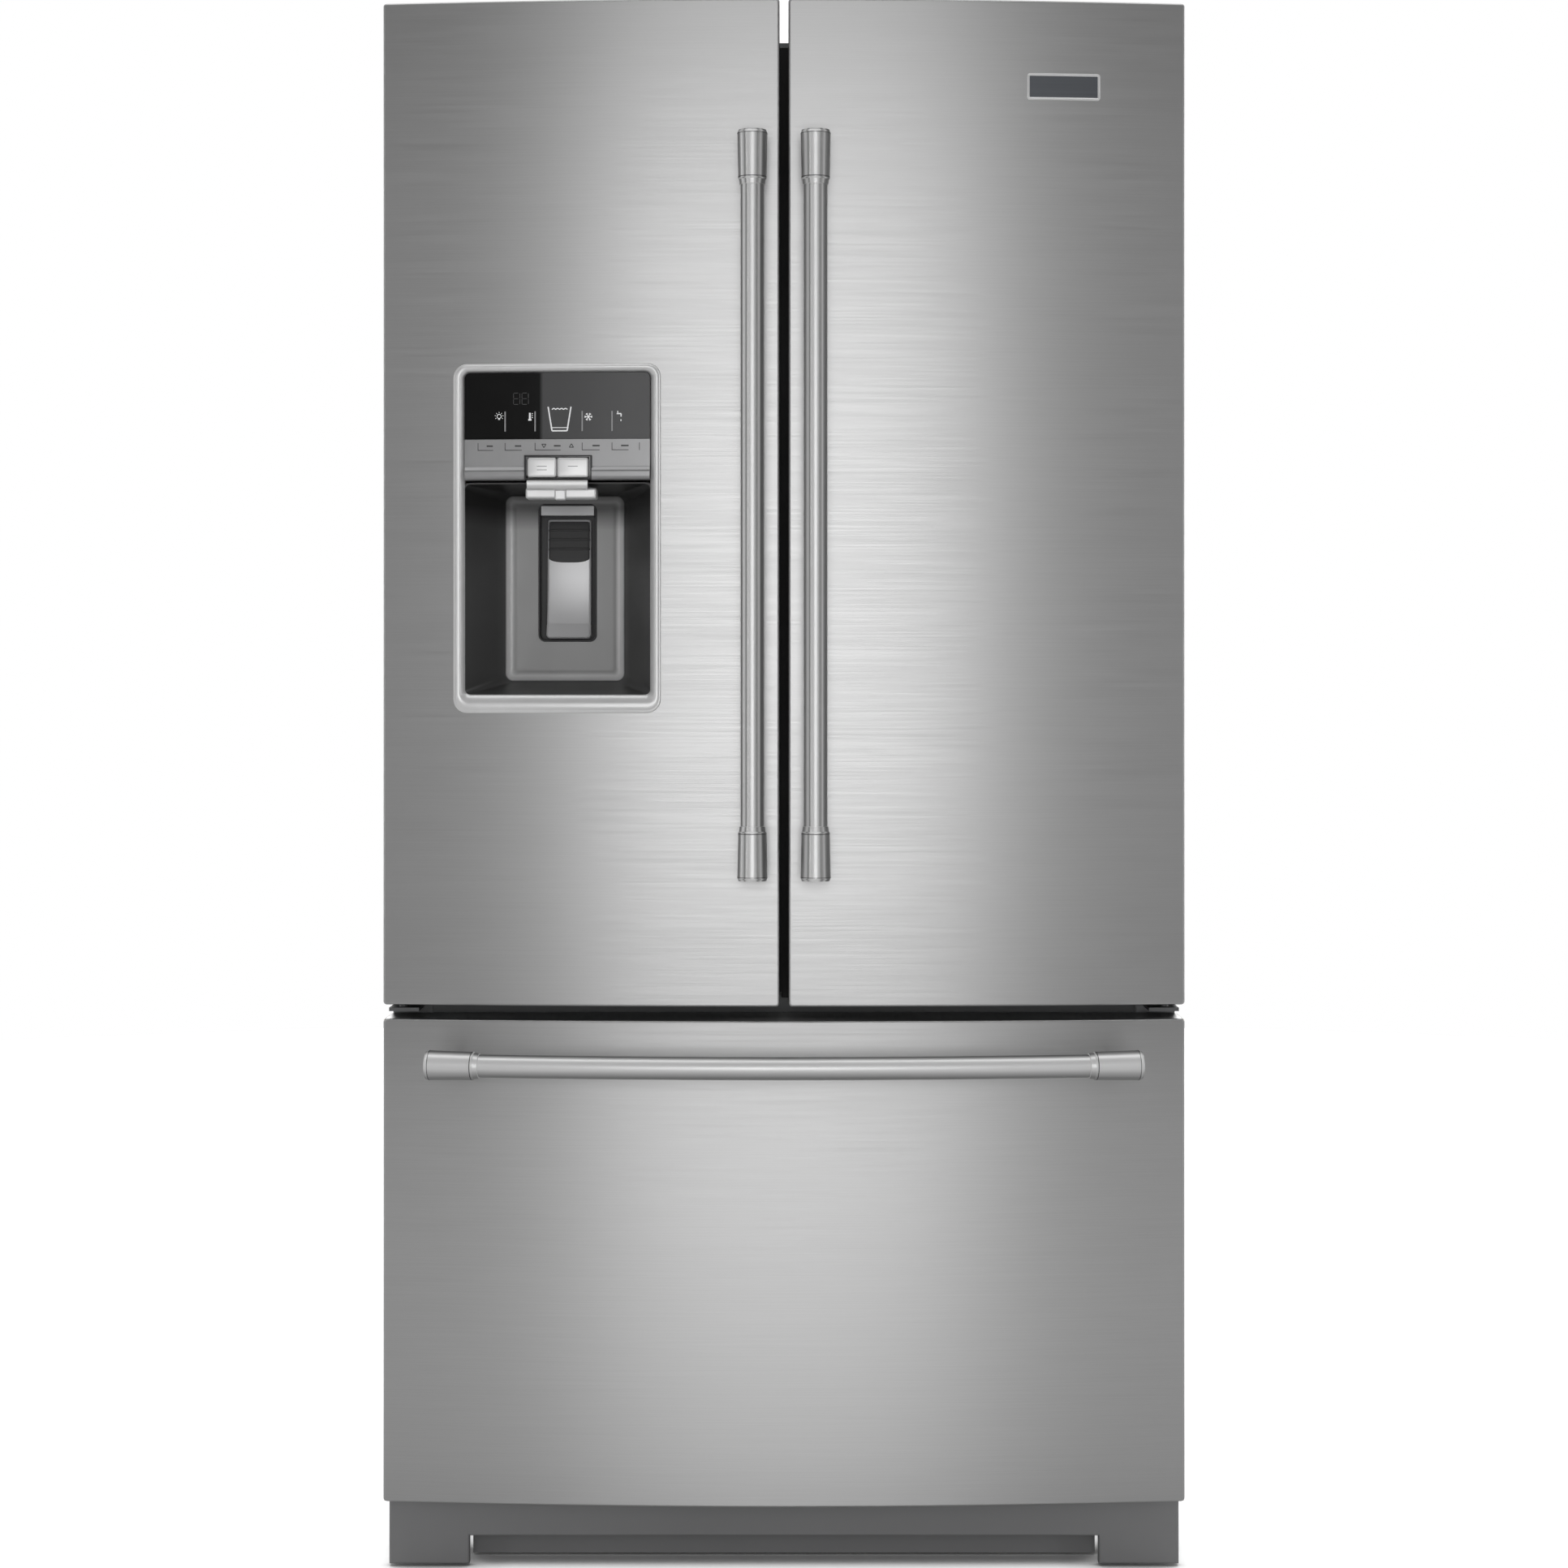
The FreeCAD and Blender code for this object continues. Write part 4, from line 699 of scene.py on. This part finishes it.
def build_keys():
    """The two keys' caps with rounded edges, each with short level marks."""
    cap, corner, mark_step = 4.2, 2.6, 4.2
    for node, mark_count in (("key_ice", 2), ("key_water", 1)):
        low, high = millimetres(node)
        front = low[1] - cap
        rings = [rounded_ring(low[0] + inset, high[0] - inset, low[2] + inset, high[2] - inset,
                              corner - inset * 0.6, lambda x, z, y=y: y, 5, 3)
                 for inset, y in ((0.0, low[1] + 6), (0.0, front + 1.6), (0.5, front + 0.7),
                                  (1.4, front + 0.2), (2.4, front))]
        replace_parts(lofted(f"{node}_cap", rings, "key_silver", node), node)
        middle = (low[0] + high[0]) / 2
        marks = [((middle - 5.5, front - 0.12, 1252.6 - mark_step * row),
                  (middle + 5.5, front + 0.2, 1253.1 - mark_step * row))
                 for row in range(mark_count)]
        joined(f"{node}_mark", marks, "print_dark", node, 0)


# (height, front, back, inset) of the paddle's level sections before it leans.
PADDLE_SECTIONS = ((1199.0, -3.6, 2.6, 1.5), (1198.0, -4.2, 2.8, 0.6), (1150.0, -4.2, 2.8, 0.3),
                   (1132.0, -3.0, 2.8, 0.3), (1112.0, -2.4, 2.8, 0.3), (1095.0, -3.0, 2.8, 0.3),
                   (1078.5, -4.6, 2.8, 0.3), (1077.0, -4.9, 2.8, 0.2), (1075.6, -5.6, 2.8, 0.0),
                   (1064.0, -8.6, 2.8, 0.0), (1061.6, -9.6, 2.2, 1.6), (1060.8, -8.6, 1.6, 3.4))


def build_paddle():
    """A light paddle with flared foot and a dark ribbed pad, leaning out of its well."""
    top_z, hinge_y, tilt = 1203.0, -262.0, math.radians(6.0)
    left, right, radius, corner_steps = -274.2, -222.8, 3.0, 6

    def leaned(x, y, z):
        down = top_z - z
        return (x, hinge_y + y * math.cos(tilt) - down * math.sin(tilt),
                top_z - down * math.cos(tilt) - y * math.sin(tilt))

    def section(z, front, back, inset):
        points = []
        for centre, start in ((left + inset + radius, 180), (right - inset - radius, 270)):
            for step in range(corner_steps + 1):
                turn = math.radians(start + 90 * step / corner_steps)
                points.append(leaned(centre + radius * math.cos(turn),
                                     front + radius + radius * math.sin(turn), z))
        return points + [leaned(right - inset, back, z), leaned(left + inset, back, z)]

    sections = [section(*row) for row in PADDLE_SECTIONS]
    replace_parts(lofted("paddle_body", sections, "paddle_plastic", "paddle"), "dispenser_paddle")
    face, rib_top, pad_back, inset = -5.6, -6.9, -2.0, 1.8
    pad = [(1196.6, -5.0, pad_back, 2.8), (1195.6, face, pad_back, 2.0)]
    for rib in range(3):
        z = 1186.5 - 11.0 * rib
        pad += [(z + 1.3, face, pad_back, inset), (z + 0.6, rib_top, pad_back, inset),
                (z - 0.6, rib_top, pad_back, inset), (z - 1.3, face, pad_back, inset)]
    foot_z, foot_steps = 1154.0, 6
    pad.append((foot_z, face, pad_back, inset))
    for step in range(1, foot_steps + 1):
        turn = math.radians(90 * step / foot_steps)
        pad.append((foot_z - 5.0 * math.sin(turn), face + 0.5 * step / foot_steps, pad_back,
                    inset + 16.0 * (1 - math.cos(turn))))
    lofted("paddle_pad", [section(*row) for row in pad], "pad_rubber", "paddle")


def build_badge():
    """A plain framed plate with no mark."""
    low, high = millimetres("badge_plate")

    def ring(inset, proud, radius):
        return rounded_ring(low[0] + inset, high[0] - inset, low[2] + inset, high[2] - inset,
                            radius, lambda x, z: face_y(x) - proud, 5, 6)

    profile = ((0.0, 0.0), (0.0, 1.2), (0.6, 1.8), (1.8, 1.8), (2.4, 1.2), (3.0, 0.9))
    rings = [ring(inset, proud, 3.5 - inset) for inset, proud in profile] + [ring(3.0, 0.0, 0.5)]
    verts, faces = loft(rings, wrap=True)
    piece = add_mesh("badge_rim", verts, faces, "bright_trim", "door_right")
    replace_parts(piece, "badge_plate")
    lofted("badge_inlay", [ring(2.9, proud, 0.6) for proud in (0.05, 0.9)], "badge_inlay",
           "door_right")


# ---------------------------------------------------------------- turned pieces
def turned(name, profile, origin, axis, look, body, corners=40):
    """A solid of revolution: (radius, distance) corners along an axis from an origin."""
    along = Vector(axis).normalized()
    side = along.orthogonal().normalized()
    other = along.cross(side)
    turns = [2 * math.pi * step / corners for step in range(corners)]
    rings = []
    for radius, distance in profile:
        middle = Vector(origin) + along * distance
        rings.append([tuple(middle + side * (radius * math.cos(turn))
                            + other * (radius * math.sin(turn))) for turn in turns])
    return lofted(name, rings, look, body)


def screw(name, x, y, z, body, radius=4.5, height=1.6):
    """A pan-head screw that looks to the rear."""
    profile = [(radius, 0.0), (radius, height * 0.35), (radius * 0.86, height * 0.8),
               (radius * 0.55, height), (0.4, height)]
    turned(name, profile, (x, y, z), (0, 1, 0), "zinc_steel", body, 24)


# ---------------------------------------------------------------- handles
CAP_SEAM = [(15.0, 3.8), (16.72, 3.8), (16.76, 4.05), (16.72, 4.3), (15.0, 4.3)]
SLEEVE_COLLAR = [(14.5, 51.6), (15.76, 51.6), (15.8, 52.0), (15.76, 52.4), (14.5, 52.4)]
HANDLE_RADIUS = 16.6
BOWED_LEAN, BOWED_TIP_IN, BOWED_TIP_BACK = 0.1401, 2.15, 44.85


def build_handle_seams():
    """The fine lines where each handle's cap and bar meet its sleeve."""
    ends = []
    for body in ("door_left", "door_right"):
        low, high = millimetres(f"{body}_handle")
        x, y = (low[0] + high[0]) / 2, low[1] + HANDLE_RADIUS
        ends += [(body, (x, y, low[2]), (0, 0, 1)), (body, (x, y, high[2]), (0, 0, -1))]
    low, high = millimetres("freezer_handle")
    tip_y, tip_z = low[1] + BOWED_TIP_BACK, (low[2] + high[2]) / 2
    for tip_x, side in ((low[0] + BOWED_TIP_IN, -1), (high[0] - BOWED_TIP_IN, 1)):
        inward = (-side * math.cos(BOWED_LEAN), -math.sin(BOWED_LEAN), 0)
        ends.append(("freezer_drawer", (tip_x, tip_y, tip_z), inward))
    for count, (body, origin, axis) in enumerate(ends):
        turned(f"handle_seam_{count}", CAP_SEAM, origin, axis, "fan_plastic", body, 48)
        turned(f"handle_collar_{count}", SLEEVE_COLLAR, origin, axis, "fan_plastic", body, 48)


# ---------------------------------------------------------------- inside the refrigerator
# Each side's left and right edges and the heights of its shelves.
SHELVES = ((-394, -6, (1010, 1170, 1310)), (6, 394, (1010, 1170, 1370)))
# Each door's bins: body, left, right, and the heights of their floors.
BINS = (("door_left", -357, -89, (750, 870, 1400, 1560)),
        ("door_right", 89, 357, (750, 960, 1170)))
SHELF_FRONT, SHELF_EDGE = -168.6, -164.6


def build_shelf_trims():
    """A bright strip along the front of every glass shelf, and the frame over the crispers."""
    strips = [((-394, SHELF_FRONT, 904), (394, SHELF_EDGE, 920))]
    for left, right, heights in SHELVES:
        strips += [((left, SHELF_FRONT, z - 1), (right, SHELF_EDGE, z + 15)) for z in heights]
    joined("shelf_fronts", strips, "shelf_edge", "cabinet", 1.6)
    parts = [((-5, -160, 693), (5, 384, 904)), ((-397, -160, 893.5), (397, -148, 904.4))]
    parts += [((side * 391 - 7, -160, 800), (side * 391 + 7, 384, 816)) for side in (-1, 1)]
    joined("crisper_frame", parts, "white_liner", "cabinet", 1.5)
    knobs = [((side * 196 - 14, -166, 895.5), (side * 196 + 14, -160, 902.5)) for side in (-1, 1)]
    joined("humidity_sliders", knobs, "dispenser_grey", "cabinet", 1.2)


def build_crisper_fronts():
    """Frosted fronts with a grip slot across the top and two fine lines."""
    front, rear = -171.5, -165.2
    for node in ("crisper_left", "crisper_right"):
        low, high = millimetres(node)
        left, right = low[0] + 3, high[0] - 3
        panel = [((left, front, 714), (right, rear, 846)), ((left, front, 870), (right, rear, 889)),
                 ((left, front, 844), (left + 26, rear, 872)),
                 ((right - 26, front, 844), (right, rear, 872)),
                 ((left + 22, -166.8, 842), (right - 22, rear, 874)),
                 ((left + 22, -175.4, 868), (right - 22, -168.0, 874))]
        panel += [((left + 30, -173.0, z), (right - 30, -170.8, z + 2)) for z in (730, 828)]
        joined(f"{node}_front", panel, "frost_panel", node, 1.6)


def build_bin_trims():
    """A white rim round the top of every door bin and two clear lines on its front."""
    for body, left, right, heights in BINS:
        trims, lips = [], []
        for z in heights:
            rim_low, rim_high = z + 80, z + 95.6
            trims.append(((left - 0.6, -179.0, rim_low), (right + 0.6, -176.2, rim_high)))
            lips += [((left + 6, -178.4, line), (right - 6, -176.9, line + 2))
                     for line in (z + 6, z + 68)]
            trims += [((x, -284, rim_low), (x + 2.0, -177, rim_high))
                      for x in (left - 0.8, right - 1.2)]
        joined(f"{body}_bin_rims", trims, "white_liner", body, 0.7)
        joined(f"{body}_bin_lines", lips, "clear_plastic", body, 0.4)


VENT_HEIGHTS = (950, 1050, 1085, 1120, 1210, 1245, 1395, 1430, 1500, 1535, 1570)
FILTER_PROFILE = [(14, -6), (30, -6), (34, -2), (35, 6), (35, 20), (33, 22), (33, 250), (28, 256)]
LAMPS = (("fresh_light", (-150, -70, 1688), (150, 30, 1697.4)),
         ("freezer_light", (-110, -150, 589), (110, -90, 597.4)))


def build_fresh_features():
    """The ice compartment's door, the air vents, the water filter and the lamps."""
    low, high = millimetres("ice_maker_housing")
    left, right = low[0] + 4, high[0] - 4
    door = [((left, -161.0, 1452), (right, -155.4, 1690)),
            ((left + 10, -163.6, 1464), (right - 10, -160.4, 1678))]
    joined("ice_room_door", door, "white_liner", "cabinet", 2.6)
    block("ice_room_latch", (right - 34, -168.4, 1548), (right - 20, -163.0, 1600),
          "dispenser_grey", "cabinet", 2.2)
    slots = [((left + 34, -164.2, 1500 + 9 * row), (right - 52, -163.4, 1503.2 + 9 * row))
             for row in range(5)]
    joined("ice_room_vents", slots, "fan_plastic", "cabinet", 0.3)
    vents = [((x, 384.9, z), (x + 58, 386.3, z + 7)) for z in VENT_HEIGHTS for x in (-66, 8)]
    joined("duct_vents", vents, "fan_plastic", "cabinet", 0.4)
    turned("water_filter", FILTER_PROFILE, (300, -150, 1660), (0, 1, 0), "white_liner", "cabinet")
    block("water_filter_grip", (296, -165, 1634), (304, -155, 1686), "dispenser_grey", "cabinet",
          2.0)
    block("water_filter_mount", (262, -126, 1664), (338, 100, 1697), "white_liner", "cabinet", 5.0)
    rim, below, above = 10, 2.2, 2.0
    for name, low, high in LAMPS:
        block(f"{name}_frame", low, high, "white_liner", "cabinet", 3.0)
        block(f"{name}_lens", (low[0] + rim, low[1] + rim, low[2] - below),
              (high[0] - rim, high[1] - rim, low[2] + above), "lamp_lens", "cabinet", 1.4)


def build_door_backs():
    """The left door's cover and ice chute, the dairy lid's lip, and the seal behind the gap."""
    y = -246.2
    chute = (-255, y, 1298)
    cover = [((-352, y, 1002), (-158, y + 3.4, 1352)),
             ((-344, y + 2.0, 1010), (-166, y + 5.2, 1240))]
    joined("dispenser_cover", cover, "white_liner", "door_left", 2.6)
    seal = [(30, 2.6), (30, 9.0), (33, 11.0), (38, 10.0), (40, 7.0), (40, 2.6)]
    turned("ice_chute_seal", seal, chute, (0, 1, 0), "black_rubber", "door_left")
    flap = [(29.5, 2.6), (29.5, 6.4), (12, 7.4), (3, 7.4)]
    turned("ice_chute_flap", flap, chute, (0, 1, 0), "dispenser_grey", "door_left")
    for count, (x, z) in enumerate(((-340, 1340), (-170, 1340), (-348, 1250), (-162, 1250))):
        screw(f"cover_screw_{count}", x, y + 3.2, z, "door_left")
    block("dairy_lid_lip", (93, -176.4, 1484.4), (353, -172.6, 1490.0), "white_liner", "dairy_lid",
          1.2)
    block("door_gap_seal", (-2.8, -291.4, 648), (11.0, -286.6, 1742), "gasket_rubber",
          "door_right", 1.0)


def build_drawer_features():
    """A divider in the deep basket, and rolled rims on both baskets."""
    divider = [((-1.6, -256, 141), (1.6, 180, 396)), ((-3.4, -256, 392), (3.4, 180, 401))]
    divider += [((-2.6, y, 141), (2.6, y + 4, 396)) for y in (-180, -100, -20, 60, 140)]
    joined("basket_divider", divider, "clear_plastic", "freezer_drawer", 0.6)
    top = 563.4
    rim = [((-371, -232.6, 554), (371, -226.0, top)), ((-371, 181.4, 554), (371, 187.0, top))]
    rim += [((side * 369.5 - 2.8, -230, 557), (side * 369.5 + 2.8, 185, top)) for side in (-1, 1)]
    rim += [((-60, -234.6, 534), (60, -230.0, 552))]
    joined("upper_basket_rim", rim, "basket_rim", "upper_basket", 1.8)
    low, top = 412, 421.4
    rim = [((side * 376.5 - 2.4, -258, low), (side * 376.5 + 2.4, 184, top)) for side in (-1, 1)]
    rim += [((-378.5, 181.6, low), (378.5, 186.6, top)),
            ((-378.5, -261.0, low), (378.5, -256.4, top))]
    joined("lower_basket_rim", rim, "basket_rim", "freezer_drawer", 1.6)


def build_base_ledge():
    """The ledge that closes the space between the grille's top and the case front."""
    block("base_ledge", (-449, -301.5, 73.5), (449, -280.1, 79.4), "grille_plastic", "cabinet", 1.2)


def build_back():
    """Shallow pressed fields in the rear panel, and flat screws round it and the machine cover."""
    low, high = millimetres("back_panel")
    back, field = high[1] - 0.05, high[1] - 0.62
    block("rear_sheet", low, (high[0], field, high[2]), "back_steel", "cabinet", 0)
    side_band, cross_band, pitch = 38, 44, 364
    near = field - 0.1
    pads = [((low[0], near, low[2]), (low[0] + side_band, back, high[2])),
            ((high[0] - side_band, near, low[2]), (high[0], back, high[2]))]
    for z in (low[2], low[2] + 352, low[2] + 716, low[2] + 1080, high[2] - cross_band):
        pads.append(((low[0] + 30, near, z), (high[0] - 30, back, z + cross_band)))
    piece = joined("rear_sheet_bands", pads, "back_steel", "cabinet", 0.45)
    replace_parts(piece, "back_panel")
    heights = [low[2] + 10 + pitch * row for row in range(4)] + [high[2] - 12]
    spots = [(x, z) for z in heights for x in (-438, 438)]
    spots += [(x, 276) for x in (-430, -145, 145, 430)] + [(x, 42) for x in (-430, 430)]
    for count, (x, z) in enumerate(spots):
        screw(f"rear_screw_{count}", x, high[1] - 0.9, z, "cabinet", 5.0, 0.88)


for build in (build_bezel, build_recess, build_display, build_fascia, build_spout, build_keys,
              build_paddle, build_badge, build_handle_seams, build_shelf_trims,
              build_crisper_fronts, build_bin_trims, build_fresh_features, build_door_backs,
              build_drawer_features, build_base_ledge, build_back):
    build()


# ---------------------------------------------------------------- stage, light and camera
# Each lamp's place, aim, size and watts.
LIGHTS = {
    "key_front": ((0.0, -6.4, 1.25), (0.0, 0.0, 1.05), (2.5, 3.0), 49),
    "strip_left": ((-3.4, -3.6, 1.3), (0.0, -0.3, 1.1), (0.3, 3.0), 10),
    "strip_right": ((3.4, -3.6, 1.3), (0.0, -0.3, 1.1), (0.3, 3.0), 10),
    "top_soft": ((0.0, 0.5, 4.6), (0.0, 0.0, 0.9), (4.5, 4.5), 90),
    "left_soft": ((-4.8, 1.5, 1.8), (0.0, 0.0, 0.9), (3.0, 3.0), 60),
    "right_soft": ((4.8, 1.5, 1.8), (0.0, 0.0, 0.9), (3.0, 3.0), 60),
    "back_soft": ((0.0, 5.6, 1.8), (0.0, 0.0, 0.9), (3.5, 3.0), 80),
}
FLOOR_REACH, FLOOR_CORNERS = 5.5, 64
WORLD_SEEN, WORLD_LIT = 1.0, 0.22
CONTACT_REACH = 0.05
CAMERA_DISTANCE, FRAME_HEIGHT, EYE_HEIGHT, FRAME_CENTRE = 3.5, 1.770, 1.0, 0.896


def build_lights():
    for name, (place, aim, size, energy) in LIGHTS.items():
        data = bpy.data.lights.new(name, "AREA")
        data.shape = "RECTANGLE"
        data.size, data.size_y = size
        data.energy = energy
        lamp = bpy.data.objects.new(name, data)
        bpy.context.scene.collection.objects.link(lamp)
        lamp.location = place
        lamp.rotation_euler = (Vector(aim) - Vector(place)).to_track_quat("-Z", "Y").to_euler()


def floor_look():
    """A pale studio floor: white with soft contact shadows to the camera, grey in reflections."""
    shade = Shader("floor_pale", (0.72, 0.72, 0.72), 0.7)
    tree = shade.tree
    shade.vary_color(shade.noise(1.5, 3.0), 0.01)
    contact = tree.nodes.new("ShaderNodeAmbientOcclusion")
    contact.samples = 8
    contact.inputs["Distance"].default_value = CONTACT_REACH
    glow = tree.nodes.new("ShaderNodeEmission")
    strength = shade.spread(contact.outputs["AO"], 0.0, 0.86, 0.42, 0.98)
    tree.links.new(strength, glow.inputs["Strength"])
    both = tree.nodes.new("ShaderNodeAddShader")
    tree.links.new(shade.bsdf.outputs["BSDF"], both.inputs[0])
    tree.links.new(glow.outputs["Emission"], both.inputs[1])
    path = tree.nodes.new("ShaderNodeLightPath")
    choice = tree.nodes.new("ShaderNodeMixShader")
    tree.links.new(path.outputs["Is Camera Ray"], choice.inputs["Fac"])
    tree.links.new(shade.bsdf.outputs["BSDF"], choice.inputs[1])
    tree.links.new(both.outputs["Shader"], choice.inputs[2])
    tree.links.new(choice.outputs["Shader"], tree.nodes["Material Output"].inputs["Surface"])
    return shade.material


def build_floor():
    mesh = bpy.data.meshes.new("floor")
    turns = [2 * math.pi * step / FLOOR_CORNERS for step in range(FLOOR_CORNERS)]
    verts = [(FLOOR_REACH * math.cos(turn), FLOOR_REACH * math.sin(turn), 0.0) for turn in turns]
    mesh.from_pydata(verts, [], [tuple(range(FLOOR_CORNERS))])
    floor = bpy.data.objects.new("floor", mesh)
    bpy.context.scene.collection.objects.link(floor)
    mesh.materials.append(floor_look())


def build_world():
    """White to the camera, and a dim even light on everything else."""
    world = bpy.data.worlds.new("studio")
    bpy.context.scene.world = world
    world.use_nodes = True
    nodes, links = world.node_tree.nodes, world.node_tree.links
    nodes.clear()
    out = nodes.new("ShaderNodeOutputWorld")
    path = nodes.new("ShaderNodeLightPath")
    mix = nodes.new("ShaderNodeMixShader")
    links.new(path.outputs["Is Camera Ray"], mix.inputs["Fac"])
    for socket, strength in ((1, WORLD_LIT), (2, WORLD_SEEN)):
        backdrop = nodes.new("ShaderNodeBackground")
        backdrop.inputs["Color"].default_value = (1.0, 1.0, 1.0, 1.0)
        backdrop.inputs["Strength"].default_value = strength
        links.new(backdrop.outputs["Background"], mix.inputs[socket])
    links.new(mix.outputs["Shader"], out.inputs["Surface"])


def build_camera():
    """Level, centred, at about a standing person's chest, 3.5 m in front of the door edges."""
    door_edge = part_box("freezer_front_skin")[0][1] + BOW_RISE * MM
    data = bpy.data.cameras.new("camera")
    data.sensor_width = 36.0
    data.lens = data.sensor_width * CAMERA_DISTANCE / FRAME_HEIGHT
    data.shift_y = (FRAME_CENTRE - EYE_HEIGHT) / FRAME_HEIGHT
    camera = bpy.data.objects.new("camera", data)
    bpy.context.scene.collection.objects.link(camera)
    camera.location = (0.0, door_edge - CAMERA_DISTANCE, EYE_HEIGHT)
    camera.rotation_euler = (math.radians(90), 0.0, 0.0)
    bpy.context.scene.camera = camera


build_floor()
build_world()
build_lights()
build_camera()
bpy.context.scene.view_settings.view_transform = "Standard"
